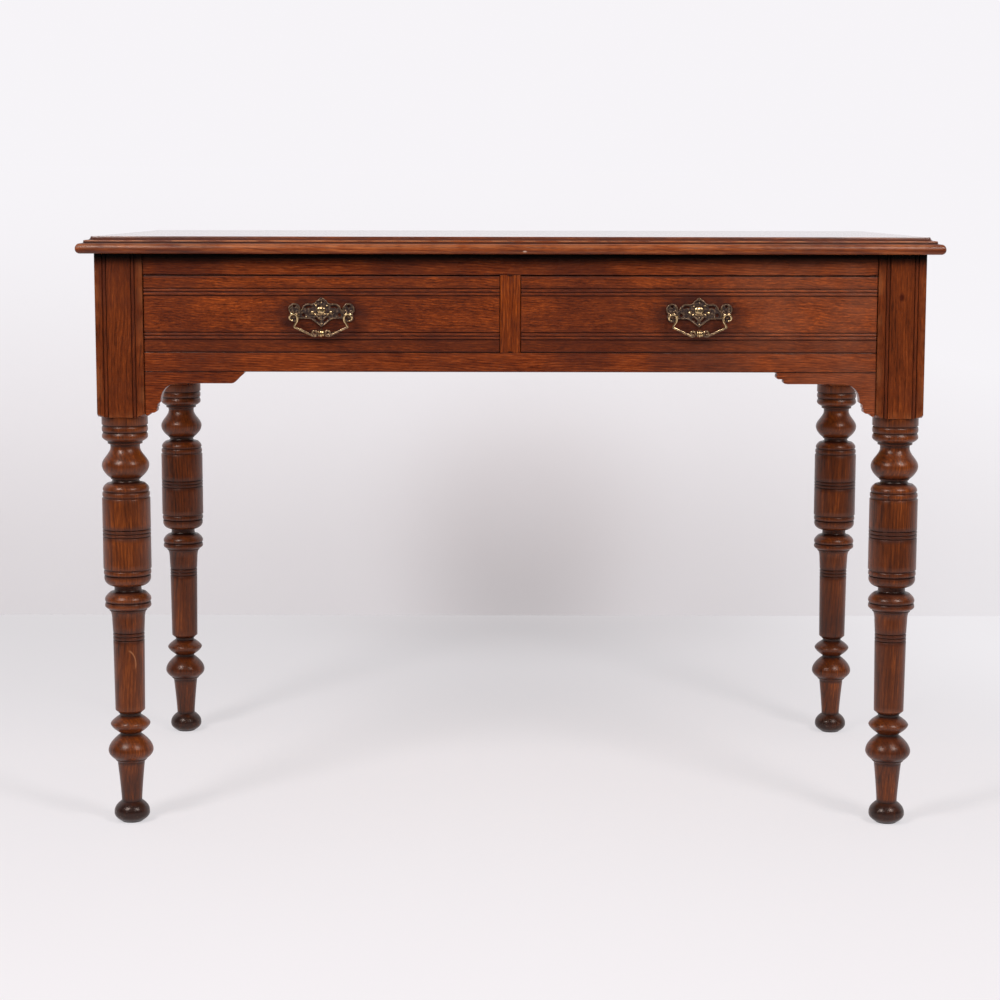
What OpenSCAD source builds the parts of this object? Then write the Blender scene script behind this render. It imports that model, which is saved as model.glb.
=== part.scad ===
// Writing table with two drawers on four turned legs.
// Millimetres. X runs left to right, the front faces -Y and Z is up.
// The origin is on the floor under the middle of the table.

/* [Overall] */
// Width of the top, nose to nose
top_w = 1067; // [950:1:1200]
// Depth of the top, nose to nose
top_d = 610; // [540:1:700]
// Height of the writing surface above the floor
desk_h = 746; // [720:1:790]
// Thickness of the top board
top_t = 21; // [19:0.5:28]
// How far the nose of the top stands past the legs
top_overhang = 20; // [14:1:45]

/* [Edge moulding of the top] */
// Width of the hollow at the edge of the flat surface
cavetto_w = 3.8; // [2:0.1:5]
// Depth of that hollow
cavetto_h = 4.2; // [2:0.1:5]
// Width of the small upper step
step_w = 4.2; // [2:0.1:6]
// Height of the small upper step
step_h = 3.2; // [2:0.1:4.5]
// Width of the ledge between the step and the nose
ledge_w = 4; // [2:0.1:6]
// Width of the rounded nose
nose_w = 5; // [3:0.1:6.5]
// Height of the widest line of the nose above the underside
nose_low_h = 5.8; // [4:0.1:6.5]

/* [Frame] */
// Side of the square block at the top of each leg
leg_sq = 59; // [54:0.5:66]
// How far the rails and aprons lie back from the leg faces
face_setback = 3; // [1.5:0.5:6]
// Height of the rail above the drawers
top_rail_h = 26; // [20:1:34]
// Height of the drawer openings
opening_h = 96; // [86:1:116]
// Height of the rail below the drawers
bottom_rail_h = 24; // [20:1:32]
// Depth of both front rails and the muntin, front to back
rail_d = 45; // [40:1:51]
// Width of the muntin between the drawers
muntin_w = 25; // [20:1:40]
// Thickness of the side and back aprons
apron_t = 20; // [18:0.5:24]

/* [Joints of the frame] */
// Length of the tenons that enter the legs
tenon_l = 25; // [16:1:28]
// Thickness of the tenons
tenon_t = 8; // [6:0.5:9]
// Shoulder above and below each tenon
tenon_shoulder = 6; // [3:0.5:8]
// Room left for glue beyond the end of a tenon
mortise_room = 1; // [0.5:0.1:2]
// Thickness of the dovetail on each end of the top rail
dovetail_t = 13; // [9:1:16]
// Width of that dovetail at its shoulder
dovetail_w = 26; // [20:1:30]
// Spread of a dovetail, sideways per unit of length
dovetail_slope = 0.14; // [0.1:0.01:0.18]
// Length of the stub tenons of runners, kickers and muntin
stub_l = 8; // [5:0.5:9]

/* [Brackets] */
// Length of a bracket along the rail
bracket_w = 124; // [100:1:160]
// Height of a bracket down the leg
bracket_h = 55; // [50:1:70]
// Thickness of a bracket
bracket_t = 20; // [16:0.5:24]
// Height of its thin arm
bracket_arm_h = 14.5; // [12:0.5:18]
// Radius of the hollow in its corner
bracket_hollow_r = 21; // [16:0.5:24]
// How far the leg block reaches below the bracket
block_below = 2.5; // [1:0.5:8]

/* [Reeding] */
// From the edge of a leg block to its first groove
block_reed_in = 9.8; // [7:0.1:14]
// Width of one reed on a leg block
block_reed_w = 4.3; // [3:0.1:6]
// From the edge of a drawer front to its first groove
front_reed_in = 15.7; // [12:0.1:24]
// Width of one reed on a drawer front
front_reed_w = 4.4; // [3:0.1:6]
// Reeds in each band of a drawer front
front_reeds = 2; // [1:1:3]
// Depth of the grooves between reeds
reed_d = 1.5; // [0.8:0.1:2.2]

/* [Leg turning, foot to disc] */
// Height of the bun foot
foot_h = 27; // [22:0.5:34]
// Widest radius of the bun foot
foot_r = 22.6; // [19:0.1:26]
// Radius of the flat sole
sole_r = 13.5; // [11:0.1:16]
// Radius of the ankle above the foot
ankle_r = 12.9; // [11:0.1:15]
// Height of the shank
shank_h = 51.5; // [40:0.5:60]
// Radius at the top of the shank
shank_r = 17.3; // [15.5:0.1:19.5]
// Height of the bulb above the shank
bulb_h = 35; // [30:0.5:42]
// Widest radius of the bulb
bulb_r = 28.5; // [25:0.1:32]
// Radius of the necks on both sides of the disc
waist_r = 13.4; // [12:0.1:16]
// Height of the disc
disc_h = 22.5; // [18:0.5:27]
// Widest radius of the disc
disc_r = 25.2; // [21:0.1:28]

/* [Leg turning, taper to drum] */
// Radius at the foot of the long taper
taper_low_r = 18.8; // [17:0.1:19.6]
// Radius at the top of the long taper
taper_top_r = 20.8; // [20.3:0.1:23]
// Distance from the top of the taper to its middle groove
taper_groove_down = 33; // [22:0.5:40]
// Height of the ring above the taper
ring_h = 11; // [10:0.5:15]
// Height of the rounded shoulder above the ring
torus_h = 16; // [12:0.5:19]
// Widest radius of the ring and the shoulder
ring_r = 29.1; // [26:0.1:31]
// Radius of the narrow necks above and below the drum
neck_r = 17; // [15:0.1:19.5]
// Length of a narrow neck
neck_h = 4.5; // [3:0.5:8]
// Height of the bowl under the drum
bowl_h = 14; // [11:0.5:18]
// Height of the beads next to the drum
bead_h = 7.4; // [5:0.2:9]
// Radius of those beads
bead_r = 29.8; // [27:0.1:31]
// Height of the drum
drum_h = 92; // [84:1:100]
// Radius of the drum
drum_r = 30.2; // [27:0.1:32]
// Distance from the top of the drum to its middle groove
drum_groove_down = 45.2; // [38:0.5:56]

/* [Leg turning, vase to collar] */
// Height of the rounded ring above the drum
crown_h = 10.3; // [7:0.1:12]
// Height of the hollow above that ring
crown_hollow_h = 3.5; // [3:0.5:7]
// Height of the vase
vase_h = 40; // [32:0.5:44]
// Widest radius of the vase
vase_r = 29.6; // [26:0.1:32]
// Radius of the neck above the vase
vase_neck_r = 18.4; // [16:0.1:20.5]
// Height of the fillet above the vase neck
fillet_h = 3; // [2:0.5:5]
// Radius of that fillet
fillet_r = 21.8; // [20.8:0.1:23.5]
// Height of the lower collar bead
collar_bead_low_h = 11; // [8:0.5:14]
// Height of the upper collar bead
collar_bead_h = 8; // [5:0.2:10]
// Radius of both collar beads
collar_bead_r = 28.8; // [26:0.1:29]
// Height of the plain collar under the block
collar_h = 11; // [7:0.2:14]
// Radius of the plain collar
collar_r = 28.8; // [26:0.1:29.2]
// Height of the rounded shoulder turned on the block
shoulder_h = 8; // [5:0.5:12]
// Depth of the turned grooves
turn_groove_d = 1.4; // [0.8:0.1:2.2]
// Width of the turned grooves
turn_groove_w = 1.5; // [1:0.1:2.2]
// Spacing of the grooves cut in threes
turn_groove_pitch = 4.6; // [3.6:0.1:6]

/* [Drawers] */
// Gap beside each drawer
drawer_gap = 0.8; // [0.5:0.1:2]
// Gap above each drawer front
drawer_top_gap = 1.2; // [0.8:0.1:2.5]
// Running gap under each drawer
run_gap = 0.3; // [0.2:0.1:0.6]
// Thickness of a drawer front
front_t = 22; // [19:0.5:26]
// Wood left in front of the lapped dovetails
lap_t = 6; // [4.5:0.5:8]
// Thickness of a drawer side
side_t = 10; // [8:0.5:13]
// Thickness of a drawer back
drawer_back_t = 9; // [7:0.5:12]
// Thickness of a drawer bottom
bottom_t = 7; // [5:0.5:8]
// Rise of the drawer bottom above the lower edge of the sides
bottom_rise = 8; // [6.5:0.5:11]
// How far the sides stay below the top of the front
side_drop = 3; // [1:0.5:8]
// How far a drawer back stays below the top of the sides
back_drop = 6; // [2:0.5:12]
// Room behind a closed drawer
drawer_room = 22; // [6:1:80]
// Depth of the groove that holds the bottom in the front
groove_d = 6; // [4:0.5:8]
// Width of the slips that carry the bottom
slip_w = 9; // [8:0.5:13]
// Wood above the bottom in a slip
slip_over = 5; // [3:0.5:8]

/* [Runners, guides and kickers] */
// Thickness of the runners
runner_t = 18; // [14:0.5:20]
// How far side runners reach under the drawer from the leg line
runner_reach = 14.5; // [12:0.5:30]
// Width of the centre runner and kicker
centre_w = 70; // [56:1:100]
// Height of the drawer guides
guide_h = 20; // [12:1:40]
// Width of a drawer stop
stop_w = 40; // [25:1:60]
// Height of a drawer stop
stop_h = 5; // [3:0.5:6]
// Front to back size of a drawer stop
stop_d = 12; // [8:0.5:16]
// Distance from the middle of a drawer to each stop
stop_x = 120; // [60:1:150]

/* [Screws and blocks] */
// Radius of the top screws
screw_r = 2.3; // [1.8:0.1:2.6]
// Radius of their heads
screw_head_r = 4.6; // [4:0.1:5.5]
// How far the top screws enter the top
screw_bite = 12; // [8:0.5:15]
// Distance of the kicker screws from the middle of the table
screw_y = 150; // [80:1:180]
// Radius of the drawer bottom screws
pin_screw_r = 1.5; // [1.2:0.1:2]
// Length of the drawer bottom screws
pin_screw_l = 18; // [14:0.5:22]
// Side of the glue blocks
block_side = 18; // [12:1:26]
// Length of the glue blocks
block_l = 60; // [40:1:90]

/* [Handles] */
// Distance between the posts of a handle
post_span = 67; // [60:0.5:76]
// Distance of the posts below the middle of a drawer front
handle_drop = 2.5; // [0:0.5:6]
// Radius of the posts
post_r = 2.3; // [1.9:0.1:2.6]
// Radius of the knuckle at the end of a post
knuckle_r = 3; // [2.8:0.05:3.1]
// Distance of the bail's hinge line from the drawer front
hinge_out = 12; // [11.8:0.1:13]
// Thickness of the backplate
plate_t = 2; // [1.5:0.1:2.6]
// Height of the raised rim and bosses of the backplate
rim_t = 1.2; // [0.8:0.1:1.5]
// Radius of the backplate's ears
ear_r = 7.6; // [6.5:0.1:8.5]
// Radius of the bud in the middle of the backplate
bud_r = 7; // [5:0.1:8]
// Radius of the bail's hinge pins
pin_r = 1.3; // [1:0.05:1.5]
// Running clearance round the hinge pins
pin_clear = 0.06; // [0.03:0.01:0.1]
// Radius of the bail's wire
wire_r = 1.3; // [1.1:0.05:1.45]
// Mean radius of the curl at each end of the bail
curl_r = 4.9; // [4.6:0.1:5.2]
// Depth of the bail below its hinge line
bail_drop = 20.5; // [18:0.5:24]
// Half width of the bail at its lower corners
bail_corner_x = 32.4; // [30:0.2:34]
// Depth of those corners below the hinge line
bail_corner_down = 12; // [10.5:0.2:13.5]
// Mean radius of the two scrolls beside the grip
scroll_r = 3.4; // [2.8:0.1:3.8]
// Half height of the grip between the scrolls
grip_r = 5.4; // [4.5:0.1:6]
// Half width of that grip
grip_w = 4; // [3:0.1:4.6]
// How far the hanging bail leans towards the drawer, in degrees
bail_lean = 17; // [8:1:24]
// Width across a nut
nut_w = 9; // [8:0.2:11]
// Thickness of a nut
nut_t = 3; // [2:0.2:4]

/* [Hidden] */
$fn = 48;

oak = [0.42, 0.19, 0.08];
dark_oak = [0.33, 0.14, 0.06];
pale_oak = [0.62, 0.45, 0.26];
pine = [0.72, 0.56, 0.35];
steel = [0.45, 0.44, 0.42];
aged_brass = [0.55, 0.42, 0.20];

// Levels of the frame
top_under = desk_h - top_t;
open_top = top_under - top_rail_h;
open_low = open_top - opening_h;
apron_low = open_low - bottom_rail_h;
block_low = apron_low - bracket_h - block_below;

// Places of the legs and the faces between them
leg_x = top_w / 2 - top_overhang - leg_sq / 2;
leg_y = top_d / 2 - top_overhang - leg_sq / 2;
inner_x = leg_x - leg_sq / 2;
inner_y = leg_y - leg_sq / 2;
rail_front = -(leg_y + leg_sq / 2 - face_setback);
rail_back = rail_front + rail_d;
apron_x = leg_x + leg_sq / 2 - face_setback - apron_t;
apron_y = leg_y + leg_sq / 2 - face_setback - apron_t;

// Places of the drawers
drawer_x = (inner_x + muntin_w / 2) / 2;
drawer_w = inner_x - muntin_w / 2 - 2 * drawer_gap;
drawer_low = open_low + run_gap;
drawer_high = open_top - drawer_top_gap;
side_high = drawer_high - side_drop;
bottom_low = drawer_low + bottom_rise;
bottom_high = bottom_low + bottom_t;
front_back_y = rail_front + front_t;
drawer_end_y = apron_y - drawer_room;
drawer_back_y = drawer_end_y - drawer_back_t;
back_high = side_high - back_drop;
handle_z = (open_low + open_top) / 2 - handle_drop;

// A box between two opposite corners
module block(low, high) {
    translate(low) cube(high - low);
}

// A copy on each side of the middle
module both_sides() {
    children();
    mirror([1, 0, 0]) children();
}

// Points on an ellipse round a centre, from one angle to another
function arc(centre, radii, from, to, steps = 8) = [
    for (i = [0:steps])
        let (a = from + (to - from) * i / steps)
            [centre[0] + radii[0] * cos(a), centre[1] + radii[1] * sin(a)]
];

// Turned curve that leaves its widest point and falls away by a power of the distance
function fall(r_wide, z_wide, r_end, z_end, power = 2, steps = 7) = [
    for (i = [0:steps])
        let (t = i / steps)
            [r_wide + (r_end - r_wide) * pow(t, power), z_wide + (z_end - z_wide) * t]
];

// The same curve, met from its narrow end
function rise(r_end, z_end, r_wide, z_wide, power = 2, steps = 7) = [
    for (i = [0:steps])
        let (t = 1 - i / steps)
            [r_wide + (r_end - r_wide) * pow(t, power), z_wide + (z_end - z_wide) * t]
];

// S-shaped turned curve between two radii
function ogee(r0, z0, r1, z1, steps = 10) = [
    for (i = [0:steps])
        let (t = i / steps)
            [r0 + (r1 - r0) * (1 - cos(180 * t)) / 2, z0 + (z1 - z0) * t]
];

// Turned bead that swells from r_edge to r_wide
function bead(z0, z1, r_edge, r_wide, steps = 6) =
    arc([r_edge, (z0 + z1) / 2], [r_wide - r_edge, (z1 - z0) / 2], -90, 90, steps);

// Turned V groove with its middle at height z
function groove(r, z) = [
    [r, z - turn_groove_w / 2], [r - turn_groove_d, z], [r, z + turn_groove_w / 2]
];

// Three grooves with two reeds between them
function groove_three(r, z) = [
    for (k = [-1:1]) each groove(r, z + k * turn_groove_pitch)
];

// Levels of the turning, from the floor up to the foot of the taper
small_fillet = 2.5;
shank_low = foot_h;
bulb_low = shank_low + shank_h;
bulb_top = bulb_low + bulb_h;
disc_low = bulb_top + small_fillet;
disc_top = disc_low + disc_h;
taper_low = disc_top + 3.2;
taper_chamfer = 4.3;

// Levels of the turning, from the block down to the top of the taper
g = turn_groove_w;
collar_low = block_low - collar_h;
collar_bead_top = collar_low - g / 2;
collar_bead_low = collar_bead_top - collar_bead_h;
lower_bead_top = collar_bead_low - g / 3;
lower_bead_low = lower_bead_top - collar_bead_low_h;
vase_top = lower_bead_low - fillet_h - neck_h;
vase_low = vase_top - vase_h;
crown_hollow_top = vase_low - neck_h / 2;
crown_top = crown_hollow_top - crown_hollow_h;
crown_low = crown_top - crown_h;
band_low = crown_low - bead_h;
drum_top = band_low;
drum_low = drum_top - drum_h;
drum_bead_low = drum_low - bead_h;
bowl_low = drum_bead_low - bowl_h;
torus_top = bowl_low - neck_h;
torus_low = torus_top - torus_h;
ring_low = torus_low - ring_h;
taper_top = ring_low;

// The turning runs on as a core inside the block, because both are one piece of wood
core_r = collar_r - turn_groove_d;
core_h = shoulder_h / 2;

// Outline of the turned part from the floor to the block, radius by height
leg_outline = concat(
    [[0, 0]],
    rise(sole_r, 0, foot_r, foot_h * 0.43),
    fall(foot_r, foot_h * 0.43, ankle_r, foot_h, 2.3),
    fall(ankle_r, foot_h + 0.5, shank_r, bulb_low, 1.25),
    [[shank_r + 0.3, bulb_low + 0.2], [shank_r + 2.7, bulb_low + 2.3], [shank_r + 2.7, bulb_low + 4]],
    rise(shank_r + 4, bulb_low + 4.1, bulb_r, bulb_low + bulb_h * 0.42),
    fall(bulb_r, bulb_low + bulb_h * 0.42, waist_r + 1.4, bulb_top - 0.4),
    [[waist_r + 1.2, bulb_top], [waist_r, bulb_top + 0.3], [waist_r, disc_low]],
    rise(waist_r + 0.2, disc_low, disc_r, disc_low + disc_h * 0.53, 1.6),
    fall(disc_r, disc_low + disc_h * 0.53, waist_r + 0.4, disc_top, 1.5),
    [[waist_r, disc_top + 0.2], [waist_r, taper_low - 0.2], [waist_r + 0.8, taper_low],
        [taper_low_r - 0.8, taper_low + taper_chamfer - 0.8], [taper_low_r, taper_low + taper_chamfer]],
    groove_three(taper_top_r - 1, taper_top - taper_groove_down),
    fall(taper_top_r - 0.2, taper_top - 12, taper_top_r + 1.6, taper_top - 0.6, 2.4, 5),
    [[taper_top_r + 3, taper_top], [taper_top_r + 3, taper_top + 1.8]],
    rise(taper_top_r + 3.6, taper_top + 2, ring_r, torus_low - 4.4, 2, 6),
    fall(ring_r, torus_low - 4.4, ring_r - 0.7, torus_low - g / 2, 2, 2),
    [[ring_r - turn_groove_d - 0.6, torus_low]],
    rise(ring_r - 0.8, torus_low + g / 2, ring_r, torus_low + 3.6, 2, 3),
    fall(ring_r, torus_low + 3.6, neck_r + 5.4, torus_top - 3.4, 1.8, 7),
    arc([neck_r + 5, torus_top], [5, 3.2], 270, 180, 4),
    [[neck_r, bowl_low - 0.2], [neck_r + 0.8, bowl_low]],
    arc([neck_r + 0.8, bowl_low + 10.4], [ring_r - neck_r - 0.6, 10.2], -82, 0, 7),
    [[ring_r, drum_bead_low - g / 2], [ring_r - turn_groove_d, drum_bead_low]],
    bead(drum_bead_low + g / 2, drum_low - g / 2, bead_r - 1, bead_r),
    groove(drum_r, drum_low + g / 4),
    groove_three(drum_r, drum_top - drum_groove_down),
    groove(drum_r, drum_top - g / 4),
    bead(band_low + g / 2, crown_low - g / 2, bead_r - 1, bead_r),
    [[bead_r - 1.8, crown_low]],
    rise(ring_r - 0.8, crown_low + g / 2, ring_r, crown_low + 2.6, 2, 3),
    fall(ring_r, crown_low + 2.6, neck_r + 6.6, crown_top, 2, 6),
    arc([neck_r + 6, crown_top + crown_hollow_h], [6, crown_hollow_h - 0.2], 270, 180, 5),
    [[neck_r, vase_low - 0.6], [neck_r + 1.8, vase_low - 0.4], [neck_r + 1.8, vase_low + 1.4]],
    rise(neck_r + 3, vase_low + 1.5, vase_r, vase_low + vase_h * 0.43),
    ogee(vase_r, vase_low + vase_h * 0.43, vase_neck_r, vase_top),
    arc([fillet_r, lower_bead_low - fillet_h - neck_h * 0.6],
        [fillet_r - vase_neck_r, neck_h * 0.6 - 0.2], 180, 90, 4),
    [[fillet_r, lower_bead_low - 0.4], [fillet_r + 1, lower_bead_low]],
    rise(fillet_r + 1.4, lower_bead_low + 0.2, collar_bead_r, lower_bead_top - 5, 2, 5),
    fall(collar_bead_r, lower_bead_top - 5, collar_bead_r - 1.6, lower_bead_top, 2, 4),
    [[collar_bead_r - 2.4, lower_bead_top + g / 6]],
    bead(collar_bead_low, collar_bead_top, collar_bead_r - 1.6, collar_bead_r),
    [[collar_r - turn_groove_d, collar_low], [collar_r, collar_low + g / 2], [collar_r, block_low],
        [core_r, block_low], [core_r, block_low + core_h], [0, block_low + core_h]]
);

// Radius of a circle through the corners of the block
corner_r = leg_sq / sqrt(2) + 0.5;

// Outline that rounds the lower corners of the block
block_outline = concat(
    [[0, block_low], [collar_r + 0.6, block_low]],
    arc([collar_r + 0.6, block_low + shoulder_h], [corner_r - collar_r - 0.6, shoulder_h], -80, 0, 7),
    [[corner_r, top_under], [0, top_under]]
);

// Outline of a reeded band: grooves with rounded reeds between them
module reeds(count, width) {
    edge = turn_groove_w / 2;
    half = width / 2;
    polygon(concat(
        [[-edge, -1]],
        [[-edge, 0], [0, reed_d]],
        [for (k = [0:count - 1]) for (p = arc([k * width + half, reed_d], [half, reed_d], 180, 360, 6)) p],
        [[count * width, reed_d], [count * width + edge, 0], [count * width + edge, -1]]
    ));
}

// Upright reeded band on a face of the block whose outer side is +Y
module block_reeds(x, side) {
    translate([x, leg_sq / 2, block_low - 1])
        linear_extrude(block_l_total + 2)
            mirror([side < 0 ? 1 : 0, 0]) mirror([0, 1]) reeds(1, block_reed_w);
}
block_l_total = top_under - block_low;

// A leg at the origin; its outer faces are +X and +Y
module leg_blank() {
    edge = leg_sq / 2;
    difference() {
        union() {
            rotate_extrude() polygon(leg_outline);
            intersection() {
                block([-edge, -edge, block_low], [edge, edge, top_under]);
                rotate_extrude() polygon(block_outline);
            }
        }
        for (turn = [0, 1]) mirror([turn, turn ? -1 : 0, 0]) {
            block_reeds(-edge + block_reed_in, 1);
            block_reeds(edge - block_reed_in, -1);
        }
    }
}

// A leg in its place: side is -1 on the left, back is -1 at the front
module leg(side, back) {
    color(oak) difference() {
        translate([side * leg_x, back * leg_y, 0])
            mirror([side < 0 ? 1 : 0, 0, 0]) mirror([0, back < 0 ? 1 : 0, 0]) leg_blank();
        mirror([side < 0 ? 1 : 0, 0, 0]) {
            mirror([0, back > 0 ? 1 : 0, 0]) side_apron_tenon(mortise_room);
            if (back < 0) {
                top_rail_dovetail(0);
                bottom_rail_tenons(mortise_room);
            } else {
                back_apron_tenon(mortise_room);
            }
        }
    }
}

// Tenon on the front end of the right side apron
module side_apron_tenon(room) {
    middle = apron_x + apron_t / 2;
    block([middle - tenon_t / 2, -inner_y - tenon_l - room, apron_low + tenon_shoulder],
        [middle + tenon_t / 2, -inner_y, top_under - dovetail_t - tenon_shoulder]);
}

// Tenon on the right end of the back apron
module back_apron_tenon(room) {
    middle = apron_y + apron_t / 2;
    block([inner_x, middle - tenon_t / 2, apron_low + tenon_shoulder],
        [inner_x + tenon_l + room, middle + tenon_t / 2, top_under - dovetail_t - tenon_shoulder]);
}

// Pair of tenons on the right end of the bottom rail
module bottom_rail_tenons(room) {
    for (y = [rail_front + tenon_shoulder, rail_back - tenon_shoulder - tenon_t])
        block([inner_x, y, apron_low + tenon_shoulder / 2],
            [inner_x + tenon_l + room, y + tenon_t, open_low - tenon_shoulder / 2]);
}

// Dovetail on the right end of the top rail, let into the top of the leg
module top_rail_dovetail(room) {
    spread = tenon_l * dovetail_slope;
    middle = (rail_front + rail_back) / 2;
    translate([0, 0, top_under - dovetail_t - room])
        linear_extrude(dovetail_t + room)
            polygon([[inner_x, middle - dovetail_w / 2],
                [inner_x + tenon_l, middle - dovetail_w / 2 - spread],
                [inner_x + tenon_l, middle + dovetail_w / 2 + spread],
                [inner_x, middle + dovetail_w / 2]]);
}

// Stub tenon that points along Y, between two depths
module stub_y(x0, x1, y0, y1, z_mid) {
    block([x0, y0, z_mid - tenon_t / 2], [x1, y1, z_mid + tenon_t / 2]);
}

// Middle heights of the runners and kickers
runner_mid = open_low - runner_t / 2;
kicker_mid = open_top + top_rail_h / 2;

// Stub tenons of the right and centre bearers at the front rail
module bearer_stubs_front(z_mid) {
    stub_y(inner_x - runner_reach, inner_x, rail_back - stub_l, rail_back, z_mid);
    mirror([1, 0, 0]) stub_y(inner_x - runner_reach, inner_x, rail_back - stub_l, rail_back, z_mid);
    stub_y(-centre_w / 2, centre_w / 2, rail_back - stub_l, rail_back, z_mid);
}

// Stub tenons of the bearers at the back apron
module bearer_stubs_back(z_mid) {
    stub_y(inner_x - runner_reach, inner_x, apron_y, apron_y + stub_l, z_mid);
    mirror([1, 0, 0]) stub_y(inner_x - runner_reach, inner_x, apron_y, apron_y + stub_l, z_mid);
    stub_y(-centre_w / 2, centre_w / 2, apron_y, apron_y + stub_l, z_mid);
}

// Stub tenon of the muntin, down into the bottom rail or up into the top rail
module muntin_stub(z0, z1) {
    block([-tenon_t / 2, rail_front + tenon_shoulder, z0],
        [tenon_t / 2, rail_back - stub_l - tenon_shoulder, z1]);
}

module front_bottom_rail() {
    color(oak) difference() {
        union() {
            block([-inner_x, rail_front, apron_low], [inner_x, rail_back, open_low]);
            both_sides() bottom_rail_tenons(0);
        }
        muntin_stub(open_low - stub_l, open_low);
        bearer_stubs_front(runner_mid);
    }
}

module front_top_rail() {
    color(oak) difference() {
        union() {
            block([-inner_x, rail_front, open_top], [inner_x, rail_back, top_under]);
            both_sides() top_rail_dovetail(0);
        }
        muntin_stub(open_top, open_top + stub_l);
        bearer_stubs_front(kicker_mid);
        for (side = [-1, 1]) top_screw(side * drawer_x, (rail_front + rail_back) / 2);
    }
}

module centre_muntin() {
    color(oak) {
        block([-muntin_w / 2, rail_front, open_low], [muntin_w / 2, rail_back, open_top]);
        muntin_stub(open_low - stub_l, open_low);
        muntin_stub(open_top, open_top + stub_l);
    }
}

module side_apron(side) {
    color(dark_oak) mirror([side < 0 ? 1 : 0, 0, 0]) {
        block([apron_x, -inner_y, apron_low], [apron_x + apron_t, inner_y, top_under]);
        side_apron_tenon(0);
        mirror([0, 1, 0]) side_apron_tenon(0);
    }
}

module back_apron() {
    color(dark_oak) difference() {
        union() {
            block([-inner_x, apron_y, apron_low], [inner_x, apron_y + apron_t, top_under]);
            both_sides() back_apron_tenon(0);
        }
        bearer_stubs_back(runner_mid);
        bearer_stubs_back(kicker_mid);
    }
}

// Cross-section of the top between the two noses of a width
module top_section(width) {
    half = width / 2;
    nose_top = top_t - cavetto_h - step_h - 1.1;
    edge = concat(
        [for (p = arc([-nose_w, nose_low_h], [nose_w, nose_low_h], -75, 0, 5)) p],
        [for (p = arc([-nose_w, nose_low_h], [nose_w, nose_top - nose_low_h], 15, 90, 5)) p],
        [[-nose_w - ledge_w + 0.3, nose_top + 0.7]],
        [for (p = arc([-nose_w - ledge_w - 1, top_t - cavetto_h - 1.4], [1, 1], 0, 90, 3)) p],
        [for (p = arc([-nose_w - ledge_w - step_w, top_t], [cavetto_w, cavetto_h], 270, 180, 5)) p]
    );
    polygon(concat(
        [[-half + nose_w, 0], [half - nose_w, 0]],
        [for (p = edge) [half + p[0], p[1]]],
        [for (i = [len(edge) - 1:-1:0]) [-half - edge[i][0], edge[i][1]]]
    ));
}

module top_board() {
    color(oak) difference() {
        translate([0, 0, top_under]) intersection() {
            rotate([90, 0, 90]) linear_extrude(top_w, center = true) top_section(top_d);
            rotate([90, 0, 0]) linear_extrude(top_d, center = true) top_section(top_w);
        }
        all_top_screws();
    }
}

// Bracket under the bottom rail beside the right leg
module bracket(side) {
    hollow_x = bracket_arm_h + bracket_hollow_r;
    toe = 16;
    outline = concat(
        [[0, 0], [bracket_w, 0], [bracket_w, -2]],
        arc([bracket_w - 2.6, -5.4], [2.6, 3], 60, -90, 5),
        [[bracket_w - 7.5, -8.4]],
        arc([bracket_w - 12, -11.4], [3.2, 3], 60, -60, 4),
        [[bracket_w - 14, -bracket_arm_h]],
        arc([toe + 4 + bracket_hollow_r, -hollow_x], [bracket_hollow_r, bracket_hollow_r], 90, 180, 8),
        [[toe + 4, -hollow_x - 2], [toe, -hollow_x - 5], [toe, -hollow_x - 9]],
        arc([toe - 6, -hollow_x - 12], [5, 4], 45, -70, 4),
        arc([3.4, -bracket_h + 3.6], [3.4, 3.6], 0, -150, 5),
        [[0, -bracket_h + 5]]
    );
    color(oak) mirror([side > 0 ? 1 : 0, 0, 0])
        translate([-inner_x, rail_front + bracket_t, apron_low])
            rotate([90, 0, 0]) linear_extrude(bracket_t) polygon(outline);
}

// Long board that runs from the front rail to the back apron beside the right legs
module side_bearer_board(z0, z1, z_mid) {
    tongue = inner_x - runner_reach;
    block([tongue, rail_back, z0], [inner_x, apron_y, z1]);
    block([inner_x - 1, -inner_y, z0], [apron_x, inner_y, z1]);
    stub_y(tongue, inner_x, rail_back - stub_l, rail_back, z_mid);
    stub_y(tongue, inner_x, apron_y, apron_y + stub_l, z_mid);
}

module side_runner(side) {
    color(pale_oak) mirror([side < 0 ? 1 : 0, 0, 0])
        side_bearer_board(open_low - runner_t, open_low, runner_mid);
}

module side_kicker(side) {
    color(pale_oak) difference() {
        mirror([side < 0 ? 1 : 0, 0, 0]) side_bearer_board(open_top, top_under, kicker_mid);
        for (back = [-1, 1]) top_screw(side * kicker_screw_x, back * screw_y);
    }
}

// Board on the middle line from the front rail to the back apron
module centre_bearer_board(z0, z1, z_mid) {
    block([-centre_w / 2, rail_back, z0], [centre_w / 2, apron_y, z1]);
    stub_y(-centre_w / 2, centre_w / 2, rail_back - stub_l, rail_back, z_mid);
    stub_y(-centre_w / 2, centre_w / 2, apron_y, apron_y + stub_l, z_mid);
}

module centre_runner() {
    color(pale_oak) centre_bearer_board(open_low - runner_t, open_low, runner_mid);
}

module centre_kicker() {
    color(pale_oak) difference() {
        centre_bearer_board(open_top, top_under, kicker_mid);
        for (back = [-1, 1]) top_screw(0, back * screw_y);
    }
}

module side_guide(side) {
    color(pale_oak) mirror([side < 0 ? 1 : 0, 0, 0])
        block([inner_x, -inner_y, open_low], [apron_x, inner_y, open_low + guide_h]);
}

module centre_guide() {
    color(pale_oak)
        block([-muntin_w / 2, rail_back, open_low], [muntin_w / 2, apron_y, open_low + guide_h]);
}

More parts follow.
